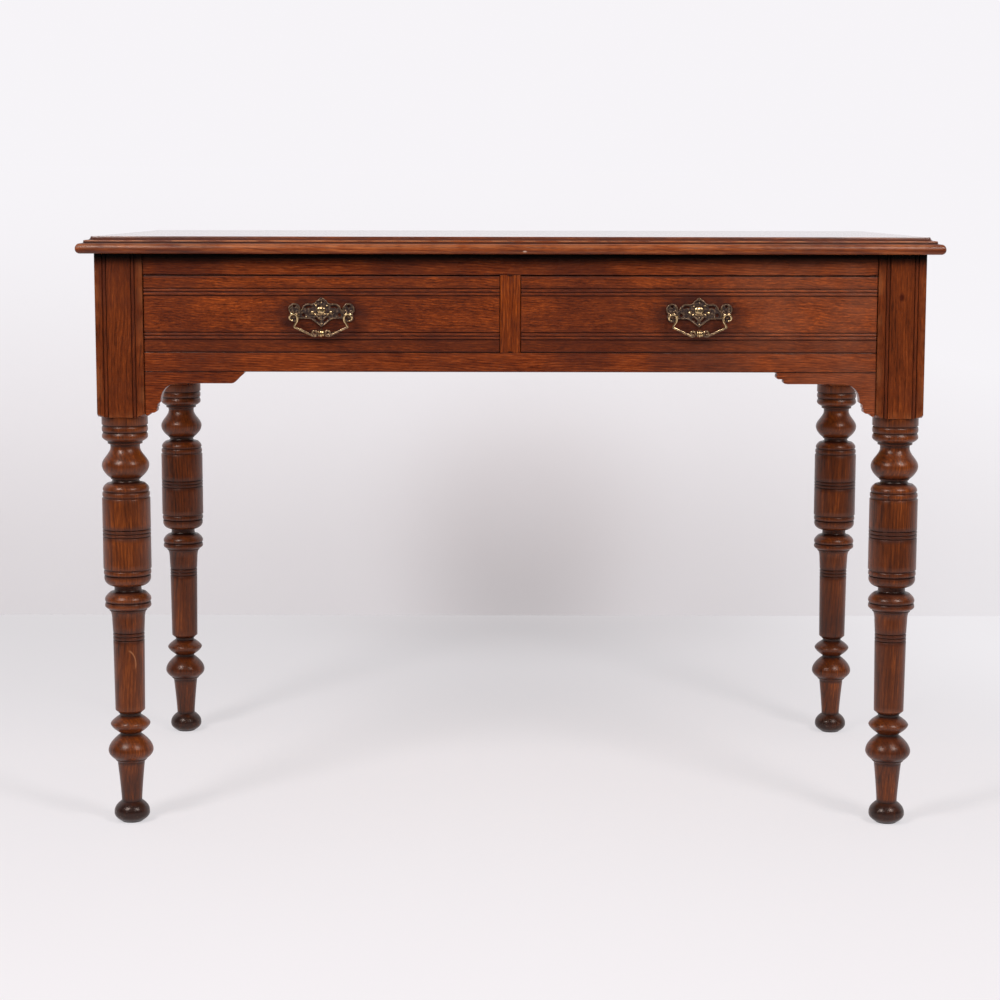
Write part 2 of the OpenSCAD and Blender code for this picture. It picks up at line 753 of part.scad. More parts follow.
module drawer_stops() {
    color(pine) for (side = [-1, 1], place = [-1, 1])
        translate([side * drawer_x + place * stop_x, front_back_y + run_gap, open_low])
            translate([-stop_w / 2, 0, 0]) cube([stop_w, stop_d, stop_h]);
}

// Screw from below through a kicker or the top rail into the top
kicker_screw_x = (inner_x + apron_x) / 2;
module top_screw(x, y) {
    head_h = screw_head_r - screw_r;
    translate([x, y, open_top]) {
        cylinder(r = screw_r, h = top_rail_h + screw_bite);
        cylinder(r1 = screw_head_r, r2 = screw_r, h = head_h);
    }
}

module all_top_screws() {
    for (back = [-1, 1], x = [-kicker_screw_x, 0, kicker_screw_x]) top_screw(x, back * screw_y);
    for (side = [-1, 1]) top_screw(side * drawer_x, (rail_front + rail_back) / 2);
}

module top_screws() {
    color(steel) all_top_screws();
}

// Three-cornered blocks glued between the back apron and the top
module glue_blocks() {
    color(pine) for (x = [-1.4, -0.6, 0.6, 1.4])
        translate([x * drawer_x, apron_y, top_under])
            rotate([90, 0, 90]) linear_extrude(block_l, center = true)
                polygon([[0, 0], [-block_side, 0], [0, -block_side]]);
}

// Dovetails that reach along +Y from y = 0, seen from the side
module tails(low, high, count, length) {
    pitch = (high - low) / count;
    root = pitch * 0.34;
    tip = root + length * dovetail_slope;
    for (i = [0:count - 1])
        translate([0, low + pitch * (i + 0.5)])
            polygon([[0, -root], [length, -tip], [length, tip], [0, root]]);
}

// A flat shape drawn as (depth, height) becomes a board across X
module across(x0, x1) {
    translate([x0, 0, 0]) rotate([90, 0, 90]) linear_extrude(x1 - x0) children();
}

// Room for the front dovetails of the side on the right of a drawer at the origin
module front_tails() {
    across(drawer_w / 2 - side_t, drawer_w / 2)
        translate([front_back_y, 0]) mirror([1, 0])
            tails(drawer_low, side_high, 3, front_t - lap_t);
}

// Dovetails at the back end of the same side
module back_tails() {
    across(drawer_w / 2 - side_t, drawer_w / 2)
        translate([drawer_back_y, 0]) tails(bottom_high, back_high, 2, drawer_back_t);
}

// A piece of a drawer in its place, -1 on the left and 1 on the right
module in_drawer(side) {
    translate([side * drawer_x, 0, 0]) children();
}

module drawer_front(side) {
    inside = drawer_w / 2 - side_t;
    color(oak) in_drawer(side) difference() {
        block([-drawer_w / 2, rail_front, drawer_low], [drawer_w / 2, front_back_y, drawer_high]);
        both_sides() front_tails();
        block([-inside, front_back_y - groove_d, bottom_low], [inside, front_back_y + 1, bottom_high]);
        across(-drawer_w / 2 - 1, drawer_w / 2 + 1) {
            translate([rail_front, drawer_high - front_reed_in])
                rotate(-90) reeds(front_reeds, front_reed_w);
            translate([rail_front, drawer_low + front_reed_in + front_reeds * front_reed_w])
                rotate(-90) reeds(front_reeds, front_reed_w);
        }
        for (post = [-1, 1]) at_handle(0) translate([post * post_span / 2, 0, -front_t - 1])
            cylinder(r = post_r, h = front_t + 2, $fn = 32);
    }
}

// place is -1 for the left side of the drawer and 1 for the right side
module drawer_side(side, place) {
    inside = drawer_w / 2 - side_t;
    color(pale_oak) in_drawer(side) mirror([place < 0 ? 1 : 0, 0, 0]) {
        difference() {
            block([inside, front_back_y, drawer_low], [drawer_w / 2, drawer_end_y, side_high]);
            block([inside - 1, drawer_back_y, bottom_high],
                [drawer_w / 2 + 1, drawer_end_y + 1, back_high]);
        }
        front_tails();
        back_tails();
    }
}

module drawer_back(side) {
    color(pale_oak) in_drawer(side) difference() {
        block([-drawer_w / 2, drawer_back_y, bottom_high], [drawer_w / 2, drawer_end_y, back_high]);
        both_sides() back_tails();
        bottom_screws();
    }
}

// Depth of the groove in the slips
slip_groove = 4;
module drawer_bottom(side) {
    half = drawer_w / 2 - side_t;
    color(pine) in_drawer(side) difference() {
        union() {
            block([-half + slip_w - slip_groove, front_back_y, bottom_low],
                [half - slip_w + slip_groove, drawer_back_y, bottom_high]);
            block([-half, front_back_y - groove_d, bottom_low], [half, front_back_y, bottom_high]);
            block([-half, drawer_back_y, bottom_low], [half, drawer_end_y, bottom_high]);
        }
        bottom_screws();
    }
}

// Grooved strips inside the sides, rounded on top
module drawer_slips(side) {
    inside = drawer_w / 2 - side_t;
    high = bottom_high + slip_over;
    color(pine) in_drawer(side) both_sides() difference() {
        translate([0, drawer_back_y, 0]) rotate([90, 0, 0])
            linear_extrude(drawer_back_y - front_back_y)
                polygon(concat(
                    [[inside, drawer_low], [inside, high]],
                    arc([inside - slip_w + slip_over, high - slip_over],
                        [slip_over, slip_over], 90, 180, 5),
                    [[inside - slip_w, drawer_low]]
                ));
        block([inside - slip_w - 1, front_back_y - 1, bottom_low],
            [inside - slip_w + slip_groove, drawer_back_y + 1, bottom_high]);
    }
}

// Three screws up through the bottom into the back
module bottom_screws() {
    for (x = [-1, 0, 1])
        translate([x * drawer_w / 3, (drawer_back_y + drawer_end_y) / 2, bottom_low]) {
            cylinder(r = pin_screw_r, h = pin_screw_l, $fn = 24);
            cylinder(r1 = 2 * pin_screw_r, r2 = pin_screw_r, h = pin_screw_r, $fn = 24);
        }
}

module drawer_screws(side) {
    color(steel) in_drawer(side) bottom_screws();
}

// Frame of a handle: X along the drawer, Y up, Z out of the drawer front
module at_handle(side) {
    translate([side * drawer_x, rail_front, handle_z]) rotate([90, 0, 0]) children();
}

// An outline moved inward, for one that runs anticlockwise
function inward(points, d) = let (n = len(points)) [for (i = [0:n - 1])
    let (run = points[(i + 1) % n] - points[(i + n - 1) % n]) points[i] + d / norm(run) * [-run[1], run[0]]];

// The left half of an outline from its right half, met in the opposite order
function other_half(points) = [for (i = [len(points) - 2:-1:1]) [-points[i][0], points[i][1]]];

// Right half of the backplate's middle panel: lower point, shoulder, crest
plate_half_w = post_span / 2;
plate_right = concat(
    [[0, -13.8], [3.4, -11.4], [11.6, -5], [14.5, -3.6], [plate_half_w - 5, -3.4], [plate_half_w - 5.6, 5]],
    arc([15.5, 6.5], [9, 8.8], 12, 112, 8),
    arc([0, 16.2], [7.6, 4.6], 0, 55, 4),
    [[1.8, 22.4], [0, 23.4]]
);
panel = concat(plate_right, other_half(plate_right));

// Middles of the ear and of the lobe under it
ear = [plate_half_w, 8.2];
lobe = [plate_half_w, -1.6];

module piercings() {
    polygon(concat(arc([15.2, 6.4], [6.6, 6.2], 35, 130, 6), arc([15.2, 6.4], [3.9, 3.6], 130, 35, 6)));
    polygon(concat(arc([0, 16.2], [3.8, 2.7], 15, 70, 3), arc([0, 16.2], [2.2, 1.6], 70, 15, 3)));
    polygon([[2.2, -2.6], [3, -8.2], [8.4, -4], [9.8, -2.2]]);
    polygon([[20.6, -0.4], [23.6, -0.8], [24.4, 1.4], [23, 3.6], [20.8, 2.8], [20, 1.2]]);
    translate(ear + [0, 3.8]) circle(r = 2, $fn = 12);
}

module plate_outline() {
    difference() {
        union() {
            polygon(panel);
            both_sides() {
                translate(ear) circle(r = ear_r);
                translate(lobe) circle(r = ear_r - 1.2);
            }
        }
        both_sides() piercings();
    }
}

// A rounded boss that stands rise above the face of the plate
module boss(r, rise) {
    ball = (r * r + rise * rise) / (2 * rise);
    translate([0, 0, rise - ball]) sphere(r = ball, $fn = 32);
}

module backplate(side) {
    rim_w = 1.6;
    bud_rise = bud_r * 0.62;
    color(aged_brass) at_handle(side) difference() {
        union() {
            linear_extrude(plate_t) plate_outline();
            translate([0, 0, plate_t - 0.5]) linear_extrude(rim_t + 0.5) difference() {
                polygon(panel);
                polygon(inward(panel, rim_w));
            }
            translate([0, 0, plate_t]) {
                both_sides() {
                    translate([ear[0], ear[1], 0])
                        rotate_extrude() translate([ear_r - rim_t, 0]) circle(r = rim_t - 0.1, $fn = 16);
                    translate([13, 5.4, 0]) boss(2.2, rim_t + 1);
                    translate([7.4, 13, 0]) boss(1.6, rim_t + 0.3);
                }
                translate([0, 16.4, 0]) boss(1.5, rim_t + 0.4);
                translate([0, 7.6, 0]) boss(bud_r, bud_rise);
                translate([0, 0.2, 0]) boss(2.4, rim_t + 0.6);
                translate([0, -9, 0]) boss(1.7, rim_t + 0.3);
            }
        }
        translate([0, 0, -20]) cylinder(r = 60, h = 20);
        for (post = [-1, 1]) translate([post * plate_half_w, 0, -1])
            cylinder(r = post_r, h = plate_t + 10, $fn = 32);
    }
}

// Bolts with a bored knuckle in front and a thread end inside the drawer
module posts(side) {
    color(aged_brass) at_handle(side) for (post = [-1, 1])
        translate([post * post_span / 2, 0, 0]) difference() {
            union() {
                translate([0, 0, -front_t - nut_t - 2])
                    cylinder(r = post_r, h = front_t + nut_t + 2 + hinge_out, $fn = 32);
                translate([0, 0, hinge_out]) sphere(r = knuckle_r, $fn = 32);
            }
            translate([-knuckle_r - 1, 0, hinge_out]) rotate([0, 90, 0])
                cylinder(r = pin_r + pin_clear, h = 2 * knuckle_r + 2, $fn = 32);
        }
}

module nuts(side) {
    color(aged_brass) at_handle(side) for (post = [-1, 1])
        translate([post * post_span / 2, 0, -front_t - nut_t]) difference() {
            translate([-nut_w / 2, -nut_w / 2, 0]) cube([nut_w, nut_w, nut_t]);
            translate([0, 0, -1]) cylinder(r = post_r, h = nut_t + 2, $fn = 32);
        }
}

// Round bar between two points of the bail's plane
module bar(from, to, r) {
    run = to - from;
    translate([from[0], from[1], 0]) rotate([0, 0, atan2(run[1], run[0])]) rotate([0, 90, 0])
        cylinder(r = r, h = norm(run), $fn = 20);
}

// The bail hangs in a plane in front of the knuckles; its pins enter them from the inner side
module bail(side) {
    curl_x = post_span / 2;
    lug_x = curl_x - curl_r;
    joint_r = wire_r + 0.5;
    plane = knuckle_r + wire_r + 0.3;
    corner = [bail_corner_x, -bail_corner_down];
    scroll = [grip_w + scroll_r + 1, -bail_drop];
    landing = scroll + scroll_r * [cos(-25), sin(-25)];
    color(aged_brass) at_handle(side) translate([0, 0, hinge_out]) rotate([bail_lean, 0, 0]) {
        for (half = [0, 1]) mirror([half, 0, 0]) {
            translate([lug_x, 0, -wire_r - 0.2]) cylinder(r = wire_r + 0.2, h = plane + wire_r + 0.2, $fn = 20);
            translate([lug_x, 0, 0]) rotate([0, 90, 0])
                cylinder(r = pin_r, h = curl_r + knuckle_r - 0.6, $fn = 32);
            translate([0, 0, plane]) {
                translate([curl_x, 0, 0]) rotate([0, 0, -40]) rotate_extrude(angle = 220)
                    translate([curl_r, 0]) circle(r = wire_r - 0.1, $fn = 20);
                translate([curl_x + curl_r * cos(-40), curl_r * sin(-40), 0])
                    sphere(r = joint_r, $fn = 20);
                translate([lug_x, 0, 0]) sphere(r = joint_r, $fn = 20);
                bar([lug_x, 0], corner, wire_r);
                translate([corner[0], corner[1], 0]) sphere(r = joint_r, $fn = 20);
                bar(corner, landing, wire_r);
                translate([scroll[0], scroll[1], 0])
                    rotate_extrude() translate([scroll_r, 0]) circle(r = wire_r - 0.1, $fn = 20);
                bar([0, scroll[1]], scroll, wire_r - 0.4);
                translate([scroll[0], scroll[1], 0]) sphere(r = scroll_r - wire_r * 0.7, $fn = 20);
            }
        }
        translate([0, -bail_drop, plane]) rotate([0, 90, 0]) rotate_extrude()
            polygon(arc([0, 0], [grip_r, grip_w], -90, 90, 12));
    }
}

top_board();
leg(-1, -1);  // front_left_leg
leg(1, -1);  // front_right_leg
leg(-1, 1);  // back_left_leg
leg(1, 1);  // back_right_leg
front_top_rail();
front_bottom_rail();
centre_muntin();
side_apron(-1);  // left_side_apron
side_apron(1);  // right_side_apron
back_apron();
bracket(-1);  // left_bracket
bracket(1);  // right_bracket
side_runner(-1);  // left_runner
side_runner(1);  // right_runner
centre_runner();
side_guide(-1);  // left_guide
side_guide(1);  // right_guide
centre_guide();
side_kicker(-1);  // left_kicker
side_kicker(1);  // right_kicker
centre_kicker();
drawer_stops();
top_screws();
glue_blocks();
drawer_front(-1);  // left_drawer_front
drawer_side(-1, -1);  // left_drawer_left_side
drawer_side(-1, 1);  // left_drawer_right_side
drawer_back(-1);  // left_drawer_back
drawer_bottom(-1);  // left_drawer_bottom
drawer_slips(-1);  // left_drawer_slips
drawer_screws(-1);  // left_drawer_screws
drawer_front(1);  // right_drawer_front
drawer_side(1, -1);  // right_drawer_left_side
drawer_side(1, 1);  // right_drawer_right_side
drawer_back(1);  // right_drawer_back
drawer_bottom(1);  // right_drawer_bottom
drawer_slips(1);  // right_drawer_slips
drawer_screws(1);  // right_drawer_screws
backplate(-1);  // left_backplate
posts(-1);  // left_posts
nuts(-1);  // left_nuts
bail(-1);  // left_bail
backplate(1);  // right_backplate
posts(1);  // right_posts
nuts(1);  // right_nuts
bail(1);  // right_bail
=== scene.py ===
from math import cos, hypot, pi, radians, sin, sqrt

import bmesh
import bpy
from mathutils import Matrix, Vector


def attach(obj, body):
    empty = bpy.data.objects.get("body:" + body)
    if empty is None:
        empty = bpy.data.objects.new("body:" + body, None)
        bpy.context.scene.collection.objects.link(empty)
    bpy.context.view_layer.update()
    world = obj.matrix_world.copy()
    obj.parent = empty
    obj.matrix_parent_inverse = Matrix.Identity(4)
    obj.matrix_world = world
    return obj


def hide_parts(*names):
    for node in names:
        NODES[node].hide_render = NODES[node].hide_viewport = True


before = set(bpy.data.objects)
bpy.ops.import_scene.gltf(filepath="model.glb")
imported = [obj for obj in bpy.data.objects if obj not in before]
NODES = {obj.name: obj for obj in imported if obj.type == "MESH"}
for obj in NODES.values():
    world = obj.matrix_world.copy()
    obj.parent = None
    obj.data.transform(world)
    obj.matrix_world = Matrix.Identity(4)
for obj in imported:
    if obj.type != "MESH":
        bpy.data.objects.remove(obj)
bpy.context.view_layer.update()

MM = 0.001
SIDES = {"left": -1, "right": 1}

# Sizes in millimetres that the pieces share
TOP_W, TOP_D, HEIGHT, TOP_T = 1067.0, 610.0, 746.0, 21.0
TOP_UNDER = HEIGHT - TOP_T
LEG_SQ = 59.0
LEG_X, LEG_Y = 484.0, 255.5
BLOCK_LOW = 521.5
RAIL_FRONT = -282.0
OPEN_HIGH, OPEN_LOW, APRON_LOW = 699.0, 603.0, 579.0
DRAWER_X, DRAWER_W = 233.5, 440.4
DRAWER_LOW, DRAWER_HIGH, SIDE_HIGH = 603.3, 697.8, 694.8
FRONT_T, LAP_T, SIDE_T = 22.0, 6.0, 10.0
HANDLE_Z = (OPEN_LOW + OPEN_HIGH) / 2 - 2.5
HINGE_OUT, POST_HALF, PLATE_T, BAIL_LEAN = 12.0, 33.5, 2.0, 17.0


# Curves of the turned and moulded shapes, as lists of (radius or distance, height)

def arc(centre, radii, start, end, steps=12):
    """Points on an ellipse from one angle to another, in degrees."""
    angles = [radians(start + (end - start) * i / steps) for i in range(steps + 1)]
    return [(centre[0] + radii[0] * cos(a), centre[1] + radii[1] * sin(a)) for a in angles]


def fall(r_wide, z_wide, r_end, z_end, power=2.0, steps=12):
    """A turned curve that leaves its widest point and falls away."""
    return [(r_wide + (r_end - r_wide) * (i / steps) ** power, z_wide + (z_end - z_wide) * i / steps)
            for i in range(steps + 1)]


def rise(r_end, z_end, r_wide, z_wide, power=2.0, steps=12):
    """The same curve, met from its narrow end."""
    return fall(r_wide, z_wide, r_end, z_end, power, steps)[::-1]


def ogee(r0, z0, r1, z1, steps=18):
    """An S-shaped turned curve between two radii."""
    return [(r0 + (r1 - r0) * (1 - cos(pi * i / steps)) / 2, z0 + (z1 - z0) * i / steps)
            for i in range(steps + 1)]


def bead(z0, z1, r_edge, r_wide):
    """A turned bead."""
    return arc((r_edge, (z0 + z1) / 2), (r_wide - r_edge, (z1 - z0) / 2), -90, 90)


def smooth_path(points, steps=8, closed=False):
    """A curve through the points, of any number of coordinates."""
    n = len(points)
    out = []
    for i in range(n if closed else n - 1):
        at = [points[(i + k) % n] if closed else points[min(max(i + k, 0), n - 1)] for k in (-1, 0, 1, 2)]
        for s in range(steps):
            t = s / steps
            out.append(tuple(
                0.5 * (2 * b + (c - a) * t + (2 * a - 5 * b + 4 * c - d) * t ** 2
                       + (3 * b - a - 3 * c + d) * t ** 3) for a, b, c, d in zip(*at)))
    if not closed:
        out.append(tuple(points[-1]))
    return out


# Making meshes and pieces

def new_object(name, data):
    """An object in the scene that holds the data."""
    made = bpy.data.objects.new(name, data)
    bpy.context.scene.collection.objects.link(made)
    return made


def shade(mesh, sharp):
    """Smooth shading, but for the edges sharper than that angle."""
    mesh.shade_smooth()
    mesh.set_sharp_from_angle(angle=radians(sharp))


def finished(bm, name, sharp):
    """A bmesh made into a shaded mesh with its faces outward."""
    bmesh.ops.recalc_face_normals(bm, faces=bm.faces)
    mesh = bpy.data.meshes.new(name)
    bm.to_mesh(mesh)
    bm.free()
    shade(mesh, sharp)
    return mesh


def lofted(name, rows, sharp):
    """A closed skin over rows of places, each given as x, y, z, how hollow and how proud it is."""
    bm = bmesh.new()
    layers = [bm.verts.layers.float.new(layer) for layer in ("hollow", "arris")]
    made = []
    for row in rows:
        made.append([bm.verts.new(Vector(place[:3]) * MM) for place in row])
        for vert, place in zip(made[-1], row):
            for layer, amount in zip(layers, place[3:]):
                vert[layer] = amount
    for a, b in zip(made, made[1:]):
        for i in range(len(a)):
            j = (i + 1) % len(a)
            bm.faces.new([a[i], a[j], b[j], b[i]])
    bm.faces.new(made[0])
    bm.faces.new(made[-1])
    return finished(bm, name, sharp)


def add_piece(name, mesh, material, body, nodes):
    """Puts a finished mesh into the scene as a piece that rides on a body."""
    piece = new_object(name, mesh)
    mesh.materials.clear()
    mesh.materials.append(material)
    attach(piece, body)
    if nodes:
        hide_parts(*nodes)


def evaluated_mesh(obj):
    """The mesh that an object's modifiers make; the object is removed."""
    bpy.context.view_layer.update()
    graph = bpy.context.evaluated_depsgraph_get()
    mesh = bpy.data.meshes.new_from_object(obj.evaluated_get(graph), depsgraph=graph)
    bpy.data.objects.remove(obj)
    return mesh


def rounded(name, outline, axis, low, high, edge=0.6, sharp=35):
    """A flat outline drawn out along an axis, with its hard edges eased by a small round."""
    def place(u, v, w):
        return {"x": (w, u, v), "y": (u, w, v), "z": (u, v, w)}[axis]

    bm = bmesh.new()
    ends = [[bm.verts.new(Vector(place(u, v, w)) * MM) for u, v in outline] for w in (low, high)]
    n = len(outline)
    bm.faces.new(ends[0])
    bm.faces.new(ends[1])
    for i in range(n):
        bm.faces.new([ends[0][i], ends[0][(i + 1) % n], ends[1][(i + 1) % n], ends[1][i]])
    bmesh.ops.recalc_face_normals(bm, faces=bm.faces)
    hard = [e for e in bm.edges if e.calc_face_angle(0) > radians(28)]
    if edge:
        bmesh.ops.bevel(bm, geom=hard, offset=edge * MM, segments=3, profile=0.5, affect="EDGES",
                        clamp_overlap=True)
    return finished(bm, name, sharp)


def board(name, low, high, edge=0.6):
    """A plain board with eased edges, between two corners."""
    outline = [(low[0], low[1]), (high[0], low[1]), (high[0], high[1]), (low[0], high[1])]
    return rounded(name, outline, "z", low[2], high[2], edge)


def merged(name, meshes, sharp):
    """Several meshes as one."""
    bm = bmesh.new()
    for mesh in meshes:
        bm.from_mesh(mesh)
    out = bpy.data.meshes.new(name)
    bm.to_mesh(out)
    bm.free()
    shade(out, sharp)
    return out


def ramp(value, low, high):
    """0 below low, 1 above high, and straight between them."""
    return min(1.0, max(0.0, (value - low) / (high - low)))


def turns(sides):
    """The angles of the points of a round."""
    return [2 * pi * k / sides for k in range(sides)]


def around(centre, side, up, sides):
    """A ring of points round a centre; the two vectors give its radii."""
    return [centre + side * cos(a) + up * sin(a) for a in turns(sides)]


class Casting:
    """Collects the rounded bars, bosses and plates of one brass casting in its own frame:
    x along the drawer, y up, z out of the drawer front."""

    def __init__(self):
        self.points, self.faces = [], []

    def add(self, points, faces):
        start = len(self.points)
        self.points += [tuple(p) for p in points]
        self.faces += [[start + i for i in f] for f in faces]

    def skin(self, rings, closed=False):
        """Faces from each ring of points to the next. A ring of one point is a pole; open ends are filled."""
        sizes = [len(ring) for ring in rings]
        starts = [sum(sizes[:i]) for i in range(len(rings))]
        faces = []
        for i in range(len(rings) if closed else len(rings) - 1):
            j = (i + 1) % len(rings)
            n = max(sizes[i], sizes[j])
            for k in range(n):
                m = (k + 1) % n
                corners = ((i, k), (i, m), (j, m), (j, k))
                faces.append(list(dict.fromkeys(starts[r] + at % sizes[r] for r, at in corners)))
        if not closed:
            faces += [list(range(starts[r], starts[r] + sizes[r])) for r in (0, -1) if sizes[r] > 1]
        self.add([p for ring in rings for p in ring], faces)

    def tube(self, path, radii, sides, closed=False):
        """A round bar along a flat path, with one radius or one at each point."""
        path = [Vector(p) for p in path]
        n = len(path)
        if not hasattr(radii, "__len__"):
            radii = [radii] * n
        rings = []
        for i, p in enumerate(path):
            ahead = path[(i + 1) % n] if closed or i < n - 1 else p
            behind = path[i - 1] if closed or i > 0 else p
            along = (ahead - behind).normalized()
            side = along.cross(Vector((0, 0, 1))).normalized()
            up = side.cross(along).normalized()
            rings.append(around(p, side * radii[i], up * radii[i], sides))
        self.skin(rings, closed)

    def bud(self, centre, radii, ribs, depth):
        """A round bud with upright ribs; its poles are at its top and bottom."""
        start = len(self.points)
        self.boss((0, 0, 0), (radii[0], radii[2], radii[1]), ribs, depth, 12, 56)
        laid = [(centre[0] + x, centre[1] + z, centre[2] - y) for x, y, z in self.points[start:]]
        self.points[start:] = laid

    def boss(self, centre, radii, ribs=0, depth=0.0, rings=10, sides=24):
        """A round or oval boss, plain or ribbed from its pole like a bud; its pole looks along z."""
        pole = Vector((0, 0, radii[2]))
        made = [[Vector(centre) + pole]]
        for i in range(1, rings):
            polar = pi * i / rings
            ring = []
            for a in turns(sides):
                reach = sin(polar) * (1 + depth * cos(ribs * a) * sin(polar))
                ring.append(Vector(centre) + pole * cos(polar)
                            + Vector((radii[0] * reach * cos(a), radii[1] * reach * sin(a), 0)))
            made.append(ring)
        self.skin(made + [[Vector(centre) - pole]])

    def lathe(self, outline, centre, along, sides=24):
        """A turned shape: outline is (distance along, radius), round a line through centre."""
        along = Vector(along).normalized()
        side = along.orthogonal().normalized()
        up = along.cross(side)
        self.skin([around(Vector(centre) + along * d, side * r, up * r, sides) for d, r in outline])

    def plate(self, outlines, z1, edge=0.35):
        """A flat plate with rounded edges; the outlines inside the first are its piercings."""
        curve = bpy.data.curves.new("plate outline", "CURVE")
        curve.dimensions, curve.fill_mode = "2D", "BOTH"
        curve.extrude = z1 / 2 - edge
        curve.bevel_depth, curve.bevel_resolution, curve.offset = edge, 2, -edge
        for outline in outlines:
            spline = curve.splines.new("POLY")
            spline.points.add(len(outline) - 1)
            for point, (x, y) in zip(spline.points, outline):
                point.co = (x, y, 0, 1)
            spline.use_cyclic_u = True
        mesh = evaluated_mesh(new_object("plate outline", curve))
        lift = Vector((0, 0, z1 / 2))
        self.add([v.co + lift for v in mesh.vertices], [list(p.vertices) for p in mesh.polygons])
        bpy.data.meshes.remove(mesh)

    def petal(self, base, tip, width, height, z, power, rings=12, sides=14):
        """A leaf or petal lying on the plate; a higher power puts its widest place nearer its tip."""
        base, run = Vector((*base, z)), Vector((tip[0] - base[0], tip[1] - base[1], 0))
        side = Vector((-run.y, run.x, 0)).normalized() * width
        up = Vector((0, 0, height))
        made = [[base]]
        for i in range(1, rings):
            t = i / rings
            swell = sin(pi * t ** power) ** 0.75
            made.append(around(base + run * t, side * swell, up * swell, sides))
        self.skin(made + [[base + run]])

    def lean(self, degrees, out):
        """Swings the casting about the hinge line and moves it out from the front."""
        turn = Matrix.Rotation(radians(degrees), 3, "X")
        self.points = [tuple(turn @ Vector(p) + Vector((0, 0, out))) for p in self.points]

    def mesh(self, name, x, rubbed):
        """The casting placed on a drawer front, its hinge line at the handle's height; rubbed gives
        from a place in its own frame how much hands have polished it there."""
        bm = bmesh.new()
        layer = bm.verts.layers.float.new("rubbed")
        verts = []
        for p in self.points:
            verts.append(bm.verts.new(Vector((x + p[0], RAIL_FRONT - p[2], HANDLE_Z + p[1])) * MM))
            verts[-1][layer] = rubbed(p)
        for f in self.faces:
            bm.faces.new([verts[i] for i in f])
        bmesh.ops.remove_doubles(bm, verts=bm.verts, dist=0.002 * MM)
        return finished(bm, name, 40)


# Shader building blocks

def sockets(tree, where, rows):
    """The inputs or outputs of a node group, each with its name, its kind and perhaps a first value."""
    for name, kind, *value in rows:
        made = tree.interface.new_socket(name=name, in_out=where, socket_type="NodeSocket" + kind)
        if value:
            made.default_value = value[0]


class Shader:
    """Short calls for the nodes of one material or node group."""

    def __init__(self, tree):
        self.tree = tree

    def set(self, target, value):
        if hasattr(value, "is_output"):
            self.tree.links.new(value, target)
        else:
            target.default_value = value

    def node(self, kind, inputs=(), **settings):
        """A new node; inputs gives sockets their values or the outputs that feed them."""
        made = self.tree.nodes.new(kind)
        for name, value in settings.items():
            setattr(made, name, value)
        for key, value in dict(inputs).items():
            self.set(made.inputs[key], value)
        return made

    def math(self, operation, a, b=0.0, clamp=False):
        return self.node("ShaderNodeMath", {0: a, 1: b}, operation=operation, use_clamp=clamp).outputs[0]

    def times(self, a, b, clamp=False):
        return self.math("MULTIPLY", a, b, clamp)

    def plus(self, a, b, clamp=False):
        return self.math("ADD", a, b, clamp)

    def minus(self, a, b):
        return self.math("SUBTRACT", a, b)

    def span(self, value, low, high, to_low=0.0, to_high=1.0):
        """A smooth step from to_low to to_high while the value goes from low to high."""
        names = ("Value", "From Min", "From Max", "To Min", "To Max")
        given = zip(names, (value, low, high, to_low, to_high))
        made = self.node("ShaderNodeMapRange", given, clamp=True, interpolation_type="SMOOTHSTEP")
        return made.outputs["Result"]

    def stretch(self, vector, scale):
        return self.node("ShaderNodeVectorMath", {0: vector, 1: scale}, operation="MULTIPLY").outputs[0]

    def shift(self, vector, by):
        return self.node("ShaderNodeVectorMath", {0: vector, 1: by}, operation="ADD").outputs[0]

    def noise(self, vector, scale=1.0, detail=2.0, roughness=0.5, colour=False):
        given = {"Vector": vector, "Scale": scale, "Detail": detail, "Roughness": roughness}
        return self.node("ShaderNodeTexNoise", given).outputs["Color" if colour else "Fac"]

    def mix(self, factor, a, b):
        return self.node("ShaderNodeMix", {0: factor, 6: a, 7: b}, data_type="RGBA").outputs[2]

    def attribute(self, name):
        return self.node("ShaderNodeAttribute", attribute_type="GEOMETRY", attribute_name=name).outputs["Fac"]

    def place(self):
        return self.node("ShaderNodeTexCoord").outputs["Object"]

    def finish(self, inputs, height=None, strength=0.0, distance=0.0):
        """The material's Principled shader, over a bump if there is a height, and its output."""
        if height is not None:
            bump = self.node("ShaderNodeBump", {"Height": height, "Strength": strength, "Distance": distance})
            inputs["Normal"] = bump.outputs["Normal"]
        shader = self.node("ShaderNodeBsdfPrincipled", inputs)
        self.node("ShaderNodeOutputMaterial", {"Surface": shader.outputs[0]})


def rgb(red, green, blue):
    """A screen colour of 0 to 255 as the linear colour that a shader takes."""
    def linear(c):
        c /= 255
        return c / 12.92 if c <= 0.04045 else ((c + 0.055) / 1.055) ** 2.4
    return (linear(red), linear(green), linear(blue), 1.0)


def shader_group(name, inputs):
    """A node group with those inputs and with a colour, a height and a dullness as outputs."""
    tree = bpy.data.node_groups.new(name, "ShaderNodeTree")
    sockets(tree, "INPUT", inputs)
    sockets(tree, "OUTPUT", (("Color", "Color"), ("Height", "Float"), ("Dullness", "Float")))
    s = Shader(tree)
    return tree, s, s.node("NodeGroupInput").outputs, s.node("NodeGroupOutput").inputs


